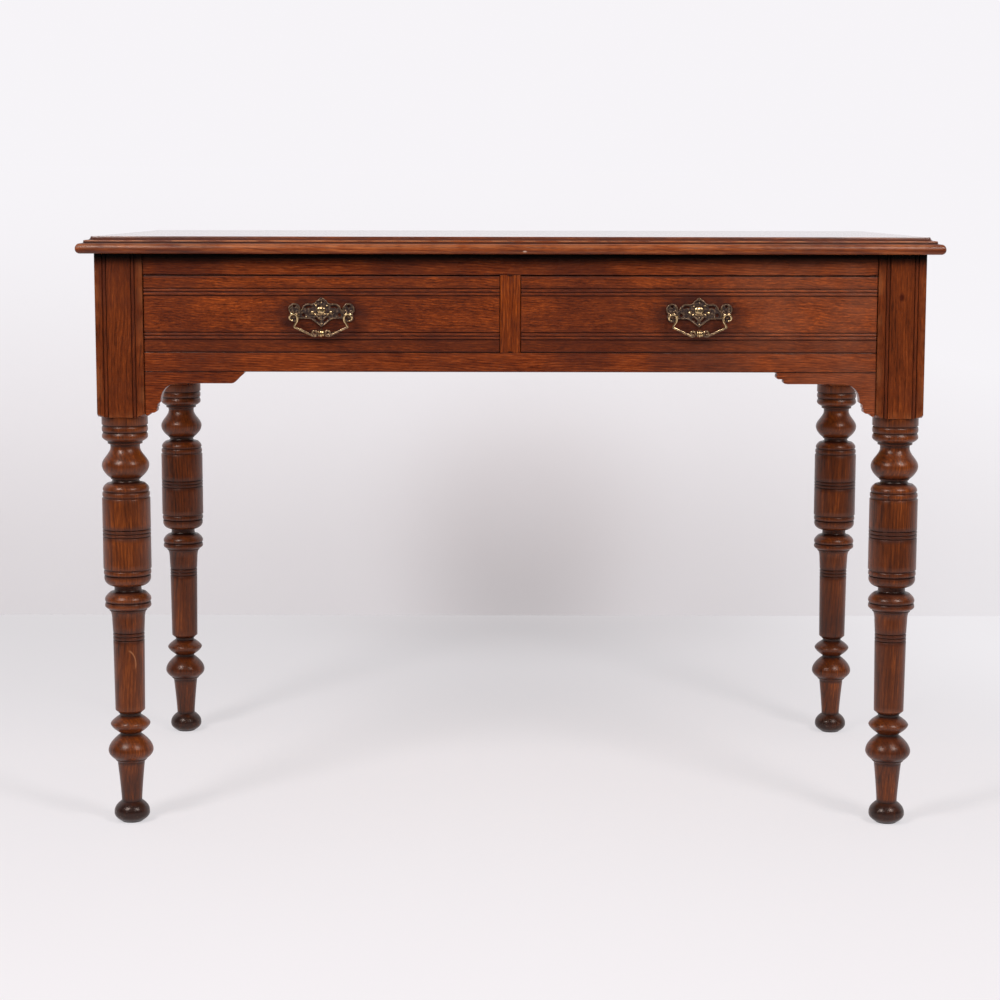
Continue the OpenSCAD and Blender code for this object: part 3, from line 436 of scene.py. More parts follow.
def oak_grain_group():
    """Growth rings, short dashes and open pores of oak whose grain runs along the vector's first axis."""
    tree, s, given, out = shader_group("oak grain", (
        ("Vector", "Vector"), ("Dark", "Color", (0.1, 0.03, 0.01, 1)),
        ("Middle", "Color", (0.2, 0.06, 0.02, 1)), ("Light", "Color", (0.3, 0.1, 0.03, 1)),
        ("Rings per Metre", "Float", 220.0), ("Figure", "Float", 0.5), ("Dashes", "Float", 1.0),
        ("Clouds", "Float", 0.3), ("Pores", "Float", 0.6)))
    vector = given["Vector"]
    # the grain wanders slowly, so that no streak is ruler straight
    wander = s.noise(s.stretch(vector, (3.0, 7, 7)), 1.0, 2, 0.5, colour=True)
    wander = s.stretch(s.shift(wander, (-0.5, -0.5, -0.5)), (0, 0.03, 0.03))
    bent = s.shift(vector, wander)
    across = s.node("ShaderNodeVectorMath", {0: bent, 1: (0.035, 0.62, 0.86)}, operation="DOT_PRODUCT")
    rings = s.math("FRACT", s.times(across.outputs["Value"], given["Rings per Metre"]))
    early = s.minus(s.span(rings, 0.0, 0.45), s.span(rings, 0.8, 1.0))
    dash = s.noise(s.stretch(bent, (42, 560, 560)), 1.0, 2, 0.6)
    short = s.noise(s.stretch(bent, (110, 900, 900)), 1.0, 2, 0.6)
    streak = s.noise(s.stretch(bent, (9, 170, 170)), 1.0, 2, 0.5)
    cloud = s.noise(s.stretch(vector, (7, 16, 16)), 1.0, 3, 0.5)
    fine = s.noise(s.stretch(bent, (90, 2300, 2300)), 1.0, 2, 0.6)
    tone = s.times(s.minus(early, 0.55), given["Figure"])
    dashes = s.plus(s.span(dash, 0.28, 0.72, -0.26, 0.26), s.span(short, 0.25, 0.75, -0.16, 0.16))
    tone = s.plus(tone, s.times(dashes, given["Dashes"]))
    tone = s.plus(tone, s.span(streak, 0.3, 0.7, -0.12, 0.12))
    broad = s.times(s.minus(cloud, 0.5), given["Clouds"])
    tone = s.plus(s.plus(tone, broad), 0.5, clamp=True)
    colour = s.mix(s.span(tone, 0.05, 0.55), given["Dark"], given["Middle"])
    colour = s.mix(s.span(tone, 0.5, 1.0), colour, given["Light"])
    pore = s.times(s.span(fine, 0.54, 0.66), s.span(early, 1.0, 0.3, 0.25, 1.0))
    pore = s.times(pore, given["Pores"], clamp=True)
    colour = s.mix(pore, colour, s.mix(0.5, given["Dark"], (0.004, 0.002, 0.001, 1)))
    s.set(out["Color"], colour)
    s.set(out["Height"], s.minus(s.times(dash, 0.35), pore))
    s.set(out["Dullness"], s.plus(s.times(pore, 0.5), s.times(cloud, 0.5), clamp=True))
    return tree


def age_group():
    """Grime and dirt in the hollows, rubbed arrises and scattered bruises on a finish."""
    tree, s, given, out = shader_group("age and handling", (
        ("Color", "Color", (0.2, 0.1, 0.05, 1)), ("Vector", "Vector"),
        ("Grime", "Color", (0.08, 0.035, 0.025, 1)), ("Dirt", "Color", rgb(26, 12, 9)),
        ("Dirt Amount", "Float", 0.8), ("Worn", "Color", (0.4, 0.2, 0.08, 1)), ("Wear Amount", "Float", 0.5),
        ("Bruises", "Float", 0.3), ("Patina", "Float", 0.4)))
    vector = given["Vector"]
    uneven = s.noise(vector, 38.0, 3, 0.6)
    hollow = s.attribute("hollow")
    film = s.times(s.span(hollow, 0.0, 0.4), s.span(uneven, 0.2, 0.65, 0.45, 0.85))
    film = s.times(film, given["Dirt Amount"], clamp=True)
    dirt = s.times(s.span(hollow, 0.4, 0.95), s.span(uneven, 0.2, 0.6, 0.75, 1.0))
    dirt = s.times(dirt, given["Dirt Amount"], clamp=True)
    worn = s.times(s.attribute("arris"), s.span(uneven, 0.36, 0.64))
    worn = s.times(worn, given["Wear Amount"], clamp=True)
    patches = s.noise(s.shift(vector, (3.7, 1.1, 5.2)), 9.0, 4, 0.6)
    patina = s.times(s.span(patches, 0.42, 0.68), given["Patina"], clamp=True)
    colour = s.mix(patina, given["Color"], given["Grime"])
    colour = s.mix(worn, colour, given["Worn"])
    colour = s.mix(film, colour, given["Grime"])
    colour = s.mix(dirt, colour, given["Dirt"])
    jitter = s.stretch(s.noise(vector, 60.0, 2, colour=True), (0.012, 0.012, 0.012))
    specks = s.node("ShaderNodeTexVoronoi", {"Vector": s.shift(vector, jitter), "Scale": 26.0}, feature="F1")
    keep = s.span(s.noise(vector, 17.0, 1), 0.53, 0.6)
    bruise = s.times(s.span(specks.outputs["Distance"], 0.12, 0.05), keep)
    bruise = s.times(bruise, given["Bruises"], clamp=True)
    s.set(out["Color"], s.mix(bruise, colour, given["Dirt"]))
    s.set(out["Height"], s.times(bruise, -1.0))
    s.set(out["Dullness"], s.times(film, 0.7))
    return tree


OAK_GRAIN = oak_grain_group()
AGE = age_group()
# How to turn the grain's own axis onto the length of a piece
ALONG = {"x": (0, 0, 0), "y": (0, 0, pi / 2), "z": (0, pi / 2, 0)}


def new_material(name):
    """A material without nodes, and the calls for its nodes."""
    material = bpy.data.materials.new(name)
    material.use_nodes = True
    material.node_tree.nodes.clear()
    return material, Shader(material.node_tree)


def oak(name, along, offset, dark, middle, light, rings=220.0, figure=0.35, dashes=1.0, clouds=0.3,
        pores=0.6, length=1.0, width=1.0, roughness=(0.24, 0.4), specular=0.25, tint=(1.0, 0.86, 0.78),
        grime=(62, 28, 22), dirt=0.85, worn=(143, 84, 48), wear=0.4, patina=0.4, extra=(), coat_above=None):
    """A polished or bare oak with its grain along one axis; length and width size the marks of the grain."""
    material, s = new_material(name)
    where = s.place()
    grain = s.node("ShaderNodeMapping", {
        "Vector": where, "Rotation": ALONG[along], "Location": offset, "Scale": (length, width, width)},
        vector_type="TEXTURE").outputs["Vector"]
    wood = s.node("ShaderNodeGroup", {
        "Vector": grain, "Dark": rgb(*dark), "Middle": rgb(*middle), "Light": rgb(*light),
        "Rings per Metre": rings, "Figure": figure, "Dashes": dashes, "Clouds": clouds, "Pores": pores},
        node_tree=OAK_GRAIN).outputs
    aged = s.node("ShaderNodeGroup", {
        "Color": wood["Color"], "Vector": where, "Grime": rgb(*grime), "Dirt Amount": dirt,
        "Worn": rgb(*worn), "Wear Amount": wear, "Patina": patina}, node_tree=AGE).outputs
    colour = aged["Color"]
    for stain in extra:
        colour = stain(s, where, colour)
    dull = s.plus(wood["Dullness"], aged["Dullness"], clamp=True)
    inputs = {"Base Color": colour, "Roughness": s.span(dull, 0.0, 0.9, *roughness),
              "Specular IOR Level": specular, "Specular Tint": (*tint, 1)}
    if coat_above is not None:
        coat = s.span(coordinate(s, where, "Z"), coat_above * MM, (coat_above + 0.8) * MM)
        inputs.update({"Coat Weight": coat, "Coat Roughness": 0.1})
    s.finish(inputs, s.plus(wood["Height"], aged["Height"]), 0.35, 0.25 * MM)
    return material


def distance_mask(s, where, centre, scale, near, far):
    """1 near a place and 0 beyond it; scale stretches the place along each axis."""
    moved = s.stretch(s.shift(where, tuple(-c for c in centre)), scale)
    length = s.node("ShaderNodeVectorMath", {0: moved}, operation="LENGTH")
    return s.span(length.outputs["Value"], near, far, 1.0, 0.0)


def coordinate(s, where, axis, absolute=False):
    """One coordinate of a place, or its distance from the middle plane."""
    value = s.node("ShaderNodeSeparateXYZ", {0: where}).outputs["XYZ".index(axis)]
    return s.math("ABSOLUTE", value) if absolute else value


def handle_stain(s, where, colour):
    """Old polish and dirt left round the two handles, where cleaning never reached."""
    rag = s.noise(where, 55.0, 3, 0.6)
    for side in SIDES.values():
        centre = Vector((side * DRAWER_X, RAIL_FRONT, HANDLE_Z - 1)) * MM
        near = distance_mask(s, where, centre, (0.62, 1.0, 1.2), 0.028, 0.043)
        amount = s.times(near, s.span(rag, 0.25, 0.7, 0.35, 0.85))
        colour = s.mix(amount, colour, rgb(50, 25, 22))
    return colour


def painted_shadow_under_top(s, where, colour):
    """Painted shadow: the wood darkens to near black close under the top, where its overhang shades it."""
    depth = s.span(coordinate(s, where, "Z"), TOP_UNDER * MM - 0.016, TOP_UNDER * MM - 0.003, 0.0, 1.0)
    return s.mix(depth, colour, rgb(9, 4, 3))


def low_band(s, where, colour):
    """The band under the lower reeds is darker."""
    low = s.span(coordinate(s, where, "Z"), 0.619, 0.623, 0.42, 0.0)
    return s.mix(low, colour, rgb(66, 28, 18))


def painted_light_on_right(s, where, colour):
    """Painted light: the wood turns a little paler and greyer towards the right side, as if lit more from
    there.
    """
    rag = s.span(s.noise(where, 14.0, 3, 0.6), 0.3, 0.65, 0.3, 1.0)
    paler = s.times(s.span(coordinate(s, where, "X"), 0.12, 0.42, 0.0, 0.22), rag)
    return s.mix(paler, colour, rgb(146, 96, 74))


def joint_stain(axis, place, half, absolute=False):
    """Dirt along a joint that lies across an axis."""
    def stain(s, where, colour):
        off = s.math("ABSOLUTE", s.minus(coordinate(s, where, axis, absolute), place * MM))
        amount = s.span(off, half * 0.25 * MM, half * MM, 0.8, 0.0)
        return s.mix(amount, colour, rgb(30, 12, 8))
    return stain


def worn_foot(s, where, colour):
    """Dark, scuffed feet with pale chips near the floor."""
    height = coordinate(s, where, "Z")
    rag = s.noise(where, 70.0, 3, 0.65)
    dark = s.times(s.span(height, 0.022, 0.031, 1.0, 0.0), s.span(rag, 0.2, 0.6, 0.6, 0.92))
    colour = s.mix(dark, colour, rgb(34, 20, 18))
    chips = s.noise(s.stretch(where, (1, 1, 1.8)), 130.0, 4, 0.7)
    chip = s.times(s.span(chips, 0.62, 0.68), s.span(height, 0.006, 0.010))
    chip = s.times(chip, s.span(height, 0.016, 0.021, 1.0, 0.0))
    return s.mix(s.times(chip, 0.75), colour, rgb(118, 98, 86))


def taper_scratch(s, where, colour):
    """A pale curved scratch on the taper of the front left leg."""
    moved = s.stretch(s.shift(where, (LEG_X * MM - 0.0012, 0, -0.2075)), (1.0, 0, 0.55))
    x, z = coordinate(s, moved, "X"), coordinate(s, moved, "Z")
    radius = s.math("SQRT", s.plus(s.times(x, x), s.times(z, z)))
    line = s.span(s.math("ABSOLUTE", s.minus(radius, 0.0095)), 0.0003, 0.0009, 1.0, 0.0)
    line = s.times(line, s.times(s.span(x, 0.0, 0.004), s.span(z, -0.004, -0.001)))
    front = s.span(coordinate(s, where, "Y"), -0.262, -0.257, 1.0, 0.0)
    return s.mix(s.times(s.times(line, front), 0.6), colour, rgb(168, 112, 74))


def mark(centre, scale, near, far, amount, tone):
    """One small mark: a knot, a chip or a dark spot."""
    def apply(s, where, colour):
        spot = distance_mask(s, where, centre, scale, near, far)
        return s.mix(s.times(spot, amount), colour, rgb(*tone))
    return apply


LEG_JOINT = joint_stain("X", LEG_X - LEG_SQ / 2, 1.6, True)
BRACKET_JOINT = joint_stain("Z", APRON_LOW, 1.3)
DRAWER_JOINTS = (joint_stain("Z", OPEN_LOW + 0.3, 1.5), joint_stain("Z", OPEN_HIGH - 0.6, 1.7))
CHIP = mark((0.0175, -0.3035, 0.7285), (0.5, 1, 1.2), 0.0007, 0.002, 0.9, (226, 196, 172))
KNOT = mark((0.4835, -0.285, 0.672), (1.3, 1, 0.8), 0.0015, 0.006, 0.9, (56, 16, 8))
MUNTIN_ENDS = [mark((0, -0.282, z), (0.4, 1, 1), 0.0006, 0.0022, 0.85, (20, 10, 8)) for z in (0.6035, 0.6985)]

REDDISH = dict(dark=(72, 26, 10), middle=(114, 48, 17), light=(150, 70, 28), length=0.75, width=0.7)
BARE = dict(roughness=(0.6, 0.8), specular=0.2, dashes=0.6, wear=0.2)
INSIDE = dict(BARE, dark=(122, 87, 51), middle=(170, 128, 81), light=(202, 162, 112), figure=0.22, dirt=0.6,
              worn=(210, 180, 136), grime=(98, 72, 48), patina=0.25)

TOP_OAK = oak("polished oak of the top", "x", (0.3, 0.1, 0.2), (88, 36, 12), (126, 57, 20), (168, 90, 42),
              figure=0.3, dashes=0.6, pores=0.7, roughness=(0.3, 0.37), specular=0.4, wear=0.75,
              worn=(175, 110, 70), patina=0.65, coat_above=HEIGHT - 1, extra=(CHIP,))
# The rails carry painted shadow close under the top and painted light towards the right.
RAIL_OAK = oak("polished oak of the rails", "x", (1.3, 0.4, 0.0), figure=0.26, rings=260.0, patina=0.55,
               extra=(painted_light_on_right, painted_shadow_under_top, LEG_JOINT, BRACKET_JOINT, *DRAWER_JOINTS), **REDDISH)
# The drawer fronts carry painted light towards the right.
FRONT_OAK = oak("polished oak of the drawer fronts", "x", (2.1, 0.7, 0.35), (62, 24, 11), (115, 49, 18),
                (164, 76, 26), figure=0.15, clouds=0.35, dashes=0.95, length=0.4, width=0.62, patina=0.42,
                extra=(low_band, painted_light_on_right, handle_stain, *DRAWER_JOINTS))
MUNTIN_OAK = oak("polished oak of the muntin", "z", (0.2, 1.1, 0.6), (76, 28, 8), (117, 49, 12),
                 (156, 74, 23), figure=0.2, width=0.7, extra=MUNTIN_ENDS)
# The leg blocks carry painted shadow close under the top.
BLOCK_OAK = oak("polished oak of the leg blocks", "z", (0.7, 0.2, 0.9), (56, 23, 10), (98, 42, 15),
                (134, 63, 23), figure=0.12, clouds=0.8, pores=0.45, dashes=0.7, length=0.7, width=0.7,
                patina=0.5, extra=(painted_shadow_under_top, KNOT))
TURNED_OAK = oak("polished oak of the turned legs", "z", (0.7, 0.2, 0.9), (42, 16, 5), (92, 40, 9),
                 (142, 69, 19), figure=0.15, clouds=1.0, pores=0.35, dashes=0.55, width=0.8,
                 roughness=(0.28, 0.36), specular=0.42, tint=(1.0, 0.84, 0.76), wear=0.5,
                 worn=(128, 72, 46), grime=(50, 26, 22), patina=0.45, extra=(worn_foot, taper_scratch))
# The boards under the top carry the same painted shadow close under it.
HIDDEN = dict(REDDISH, extra=(painted_shadow_under_top,))
APRON_OAK = oak("stained oak of the aprons", "x", (0.9, 1.9, 0.2), **HIDDEN)
SIDE_APRON_OAK = oak("stained oak of the side aprons", "y", (0.4, 0.8, 1.2), **HIDDEN)
INSIDE_OAK_Y = oak("bare oak along the depth", "y", (0.1, 0.5, 0.4), **INSIDE)
INSIDE_OAK_X = oak("bare oak along the width", "x", (0.6, 0.2, 0.9), **INSIDE)
PINE = oak("bare pine", "x", (0.9, 1.4, 0.3), **dict(
    BARE, dark=(166, 119, 68), middle=(208, 163, 107), light=(232, 194, 140), rings=110.0, figure=0.42,
    dashes=0.5, pores=0.05, dirt=0.5, worn=(232, 202, 156), grime=(150, 112, 74), patina=0.2))


def brass():
    """Old brass: bright where hands rub it, brown-black in the recesses."""
    material, s = new_material("aged brass")
    where = s.place()
    blotch = s.noise(where, 320.0, 3, 0.6)
    fine = s.noise(where, 1500.0, 2, 0.6)
    bright = s.plus(s.attribute("rubbed"), s.span(blotch, 0.3, 0.7, -0.28, 0.28), clamp=True)
    colour = s.mix(s.span(bright, 0.05, 0.5), rgb(56, 40, 36), rgb(138, 110, 86))
    colour = s.mix(s.span(bright, 0.5, 1.0), colour, rgb(242, 210, 156))
    s.finish({"Base Color": colour, "Metallic": s.span(bright, 0.1, 0.7, 0.4, 1.0),
              "Roughness": s.span(bright, 0.1, 0.9, 0.5, 0.2)}, s.plus(blotch, fine), 0.22, 0.1 * MM)
    return material


def steel():
    """Dull iron screws."""
    material, s = new_material("dull steel")
    spots = s.noise(s.place(), 420.0, 3, 0.65)
    colour = s.mix(s.span(spots, 0.4, 0.65), rgb(122, 118, 112), rgb(84, 62, 48))
    s.finish({"Base Color": colour, "Metallic": 0.9, "Roughness": s.span(spots, 0.3, 0.7, 0.35, 0.7)})
    return material


BRASS = brass()
STEEL = steel()

# The turned legs

GROOVE_W, GROOVE_D, PITCH = 1.5, 1.4, 4.6


def groove(r, z):
    """A turned V groove."""
    half = GROOVE_W / 2
    return [(r, z - half - 0.25), (r - 0.12, z - half), (r - GROOVE_D, z - 0.12), (r - GROOVE_D, z + 0.12),
            (r - 0.12, z + half), (r, z + half + 0.25)]


def three_grooves(r, z):
    """Three V grooves side by side, the middle one at that height."""
    return [p for k in (-1, 0, 1) for p in groove(r, z + k * PITCH)]


def leg_outline():
    """Radius by height of the turning, from the floor to the block."""
    g = GROOVE_W
    foot_top, bulb_low, bulb_top = 27.0, 78.5, 113.5
    disc_low = bulb_top + 2.5
    disc_top = disc_low + 22.5
    taper_low = disc_top + 3.2
    bead_top = BLOCK_LOW - 11 - g / 2
    bead_low = bead_top - 8
    lower_bead_top = bead_low - g / 3
    lower_bead_low = lower_bead_top - 11
    vase_top = lower_bead_low - 3 - 4.5
    vase_low = vase_top - 40
    crown_top = vase_low - 2.25 - 3.5
    crown_low = crown_top - 10.3
    band_low = crown_low - 7.4
    drum_top, drum_low = band_low, band_low - 92
    drum_bead_low = drum_low - 7.4
    bowl_low = drum_bead_low - 14
    torus_top = bowl_low - 4.5
    torus_low = torus_top - 16
    taper_top = torus_low - 11
    wide = bulb_low + 35 * 0.42
    disc_wide = disc_low + 22.5 * 0.53
    vase_wide = vase_low + 40 * 0.43
    points = [(0.4, 0.0), (12.2, 0.0)]
    points += arc((12.8, 0.8), (0.8, 0.8), -90, -10, 3)
    points += rise(13.6, 0.8, 22.6, foot_top * 0.43, 2.2)
    points += fall(22.6, foot_top * 0.43, 12.9, foot_top, 2.4)
    points += fall(12.9, foot_top + 0.5, 17.3, bulb_low, 1.25)
    points += [(17.6, bulb_low + 0.2), (20.0, bulb_low + 2.3), (20.2, bulb_low + 3.4), (20.0, bulb_low + 4.0)]
    points += rise(21.3, bulb_low + 4.1, 28.5, wide)
    points += fall(28.5, wide, 14.8, bulb_top - 0.4, 1.9)
    points += [(14.4, bulb_top), (13.4, bulb_top + 0.3), (13.3, disc_low)]
    points += rise(13.6, disc_low + 0.05, 25.2, disc_wide, 1.6)
    points += fall(25.2, disc_wide, 13.8, disc_top, 1.5)
    points += [(13.4, disc_top + 0.2), (13.4, taper_low - 0.2), (14.2, taper_low), (18.0, taper_low + 3.5),
               (18.6, taper_low + 4.0), (18.8, taper_low + 4.6)]
    points += three_grooves(19.8, taper_top - 33)
    points += fall(20.6, taper_top - 12, 22.4, taper_top - 0.6, 2.4)
    points += [(23.6, taper_top), (23.9, taper_top + 0.9), (23.8, taper_top + 1.8)]
    points += rise(24.4, taper_top + 2, 29.1, torus_low - 4.4)
    points += fall(29.1, torus_low - 4.4, 28.4, torus_low - g / 2, 2, 4)
    points += [(27.1, torus_low)]
    points += rise(28.3, torus_low + g / 2, 29.1, torus_low + 3.6, 2, 6)
    points += fall(29.1, torus_low + 3.6, 22.4, torus_top - 3.4, 1.8)
    points += arc((22.0, torus_top), (5, 3.2), 268, 182, 8)
    points += [(17.0, bowl_low - 0.2), (17.8, bowl_low)]
    points += arc((17.8, bowl_low + 10.4), (11.5, 10.2), -82, 0, 14)
    points += [(29.1, drum_bead_low - g / 2), (27.7, drum_bead_low)]
    points += bead(drum_bead_low + g / 2, drum_low - g / 2, 28.8, 29.8)
    arris = [(28.8, -0.35), (28.8, 0.35), (30.0, 1.1), (30.2, 1.5)]
    points += [(r, drum_low + z) for r, z in arris]
    points += three_grooves(30.2, drum_top - 45.2)
    points += [(r, drum_top - z) for r, z in arris[::-1]]
    points += bead(band_low + g / 2, crown_low - g / 2, 28.8, 29.8)
    points += [(28.0, crown_low)]
    points += rise(28.3, crown_low + g / 2, 29.1, crown_low + 2.6, 2, 6)
    points += fall(29.1, crown_low + 2.6, 23.6, crown_top, 2)
    points += arc((23.0, crown_top + 3.5), (6, 3.3), 268, 182, 8)
    points += [(17.0, vase_low - 0.6), (18.6, vase_low - 0.4), (18.9, vase_low + 0.5), (18.8, vase_low + 1.4)]
    points += rise(20.0, vase_low + 1.5, 29.6, vase_wide)
    points += ogee(29.6, vase_wide, 18.4, vase_top)
    points += arc((21.8, lower_bead_low - 3 - 2.7), (3.4, 2.5), 180, 92, 7)
    points += [(21.8, lower_bead_low - 0.4), (22.8, lower_bead_low)]
    points += rise(23.2, lower_bead_low + 0.2, 28.8, lower_bead_top - 5)
    points += fall(28.8, lower_bead_top - 5, 27.2, lower_bead_top, 2, 6)
    points += [(26.4, lower_bead_top + g / 6)]
    points += bead(bead_low, bead_top, 27.2, 28.8)
    points += [(r, BLOCK_LOW - z) for r, z in ((27.4, 11), (28.6, 10.4), (28.8, 10.0), (28.8, 0.1))]
    # a lathe cut never turns back, so each point lies a little above the one before
    out = []
    for r, z in points:
        out.append((r, z if not out or z > out[-1][1] + 0.02 else out[-1][1] + 0.02))
    # long straight stretches get points between, so that wear and dirt have somewhere to lie
    filled = [out[0]]
    for r, z in out[1:]:
        r0, z0 = filled[-1]
        pieces = max(1, int((z - z0) / 6))
        filled += [(r0 + (r - r0) * k / pieces, z0 + (z - z0) * k / pieces) for k in range(1, pieces + 1)]
    return filled


def hollows(outline, reach=5.0):
    """How hollow and how proud each point is, from 0 to 1, next to the outline within reach of it."""
    hollow, arris = [], []
    for r, z in outline:
        total = weight = 0.0
        for i in range(len(outline) - 1):
            (r0, z0), (r1, z1) = outline[i], outline[i + 1]
            middle = (z0 + z1) / 2
            if abs(middle - z) < reach:
                w = (z1 - z0) * (1 - abs(middle - z) / reach)
                total += w * (r0 + r1) / 2
                weight += w
        mean = total / weight if weight else r
        deep = mean - r
        # a wide neck was wiped now and then, a narrow groove never was
        hollow.append(ramp(deep, 0.12, 1.22) - 0.6 * ramp(deep, 1.8, 2.4))
        arris.append(ramp(-deep, 0.1, 1.0))
    near = 3.2
    spread = []
    for r, z in outline:
        spread.append(max(h * (1 - abs(z1 - z) / near)
                          for h, (r1, z1) in zip(hollow, outline) if abs(z1 - z) < near))
    hollow = [max(h, 0.55 * w) for h, w in zip(hollow, spread)]
    return hollow, arris


def turning_tree():
    """Turns an upright outline with a radius at each point into a round solid."""
    tree = bpy.data.node_groups.new("turning on a lathe", "GeometryNodeTree")
    sockets(tree, "INPUT", (("Outline", "Geometry"), ("Sides", "Int", 96), ("Finish", "Material")))
    sockets(tree, "OUTPUT", (("Turning", "Geometry"),))
    s = Shader(tree)
    given = s.node("NodeGroupInput").outputs
    curve = s.node("GeometryNodeMeshToCurve", {"Mesh": given["Outline"]}).outputs["Curve"]
    radius = s.node("GeometryNodeInputNamedAttribute", {"Name": "turned_radius"}, data_type="FLOAT")
    circle = s.node("GeometryNodeCurvePrimitiveCircle", {"Resolution": given["Sides"], "Radius": 1.0})
    sweep = s.node("GeometryNodeCurveToMesh", {
        "Curve": curve, "Scale": radius.outputs["Attribute"], "Profile Curve": circle.outputs["Curve"],
        "Fill Caps": True})
    solid = s.node("GeometryNodeRealizeInstances", {"Geometry": sweep.outputs["Mesh"]}).outputs["Geometry"]
    finish = s.node("GeometryNodeSetMaterial", {"Geometry": solid, "Material": given["Finish"]})
    s.node("NodeGroupOutput", {"Turning": finish.outputs["Geometry"]})
    return tree


def turned_mesh():
    """The turned length of one leg, standing at the origin."""
    outline = leg_outline()
    hollow, arris = hollows(outline)
    mesh = bpy.data.meshes.new("leg outline")
    mesh.from_pydata([(0, 0, z * MM) for r, z in outline], [(i, i + 1) for i in range(len(outline) - 1)], [])
    radii = [r * MM for r, z in outline]
    for name, values in (("turned_radius", radii), ("hollow", hollow), ("arris", arris)):
        mesh.attributes.new(name, "FLOAT", "POINT").data.foreach_set("value", values)
    obj = new_object("leg outline", mesh)
    modifier = obj.modifiers.new("turning", "NODES")
    modifier.node_group = turning_tree()
    values = {"Sides": 96, "Finish": TURNED_OAK}
    for item in modifier.node_group.interface.items_tree:
        if item.item_type == "SOCKET" and item.in_out == "INPUT" and item.name in values:
            modifier[item.identifier] = values[item.name]
    turned = evaluated_mesh(obj)
    shade(turned, 40)
    return turned


def block_outline():
    """Cross-section of the leg's square block: rounded corners and two pairs of grooves on each face.
    Each entry is x, y and how hollow the place is."""
    half, soft, reed, first = LEG_SQ / 2, 1.0, 4.3, 9.8
    cut, deep = 0.85, 1.5
    face = [(-half + soft, 0.0, 0.0)]
    for start in (-half + first, half - first - reed):
        face += [(start - cut, 0.0, 0.0), (start, deep, 1.0)]
        face += [(x, deep - d, 0.6 if d < 0.8 else 0.15)
                 for x, d in arc((start + reed / 2, 0.0), (reed / 2 - 0.1, deep), 165, 15, 8)]
        face += [(start + reed, deep, 1.0), (start + reed + cut, 0.0, 0.0)]
    face += [(half - soft, 0.0, 0.0)]
    out = []
    for turn in range(4):
        angle = turn * pi / 2
        c, s = cos(angle), sin(angle)
        side = [(x, -half + d, h) for x, d, h in face]
        side += [(half - soft + soft * sin(a), -half + soft - soft * cos(a), 0.0)
                 for a in (pi / 8, pi / 4, 3 * pi / 8)]
        out += [(c * x - s * y, s * x + c * y, h) for x, y, h in side]
    return out


def block_mesh():
    """The square block with the rounded shoulder that the lathe cuts on its lower end."""
    outline = block_outline()
    inner, corner = 29.4, LEG_SQ / sqrt(2) + 0.5
    steps = 7

    def shoulder(r):
        return BLOCK_LOW + 8 * (1 - sqrt(1 - ramp(r, inner, corner) ** 2))

    rows = []
    for k in range(steps + 1):
        row = []
        for x, y, h in outline:
            reach = hypot(x, y)
            r = inner + (reach - inner) * k / steps
            proud = float(k == steps and h == 0)
            row.append((x * r / reach, y * r / reach, shoulder(r), h * k / steps, proud))
        rows.append(row)
    edge = LEG_SQ / 2 - 1.1
    for z in (BLOCK_LOW + 9.5, 556.0, 596.0, 636.0, 676.0, TOP_UNDER - 1.5, TOP_UNDER):
        rows.append([(x, y, max(z, shoulder(hypot(x, y)) + 0.3), h, float(abs(x) > edge and abs(y) > edge))
                     for x, y, h in outline])
    return lofted("leg block", rows, 30)


def make_legs():
    """Each leg is a turned length under a square block."""
    turned, block = turned_mesh(), block_mesh()
    for back, y in (("front", -LEG_Y), ("back", LEG_Y)):
        for side, sign in SIDES.items():
            move = Matrix.Translation(Vector((sign * LEG_X, y, 0)) * MM)
            for part, mesh, material in (("turning", turned, TURNED_OAK), ("block", block, BLOCK_OAK)):
                copy = mesh.copy()
                copy.transform(move)
                nodes = (f"{back}_{side}_leg",) if part == "turning" else ()
                add_piece(f"{back}_{side}_leg_{part}", copy, material, "frame", nodes)


# The top, its moulding and the boards of the frame

def top_profile():
    """Inset from the nose, height, and a mark: above 0 how hollow, below 0 how proud the place is.
    The list runs from the flat surface over hollow, step and nose to the underside."""
    nose_w, nose_low, nose_top = 5.0, 5.8, 12.5
    hollow_in, hollow_w, hollow_h = 13.2, 3.8, 4.2
    step_in, step_low = 10.0, 15.4
    out = [(20.0, TOP_T, 0.0), (17.25, TOP_T, -0.3)]
    out += [(hollow_in + hollow_w * cos(t), TOP_T - hollow_h * sin(t), 0.15 + 0.5 * sin(t))
            for t in map(radians, range(5, 86, 10))]
    out += [(hollow_in, TOP_T - hollow_h, 0.8), (12.2, 16.72, 0.4), (10.9, 16.55, 0.0)]
    out += [(step_in - sin(t), step_low + cos(t), -0.9) for t in map(radians, (0, 30, 60, 90))]
    out += [(8.9, 14.2, 0.5), (8.8, 13.4, 1.0), (8.4, 13.1, 1.0), (7.2, 12.9, 0.5), (6.0, 12.65, 0.1)]
    out += [(nose_w - nose_w * sin(t), nose_low + (nose_top - nose_low) * cos(t), -0.5 * sin(2 * t))
            for t in map(radians, range(0, 91, 7))]
    out += [(nose_w * (1 - cos(t)), nose_low * (1 - sin(t)), 0.0) for t in map(radians, range(8, 76, 8))]
    # the underside is marked darker and darker the further in it lies under the top
    return out + [(4.3, 0.0, 0.3), (7.0, 0.0, 0.6), (20.0, 0.0, 0.9)]


def top_mesh():
    """The top board with its moulding worked on all four edges."""
    corner, steps = 2.5, 5
    rows = []
    for inset, z, mark in top_profile():
        x, y = TOP_W / 2 - inset - corner, TOP_D / 2 - inset - corner
        row = []
        for quarter, (sx, sy) in enumerate(((1, 1), (-1, 1), (-1, -1), (1, -1))):
            start = 90 * quarter
            row += [(px, py, TOP_UNDER + z, max(0.0, mark), max(0.0, -mark))
                    for px, py in arc((sx * x, sy * y), (corner, corner), start, start + 90, steps)]
        rows.append(row)
    return lofted("top board", rows, 32)


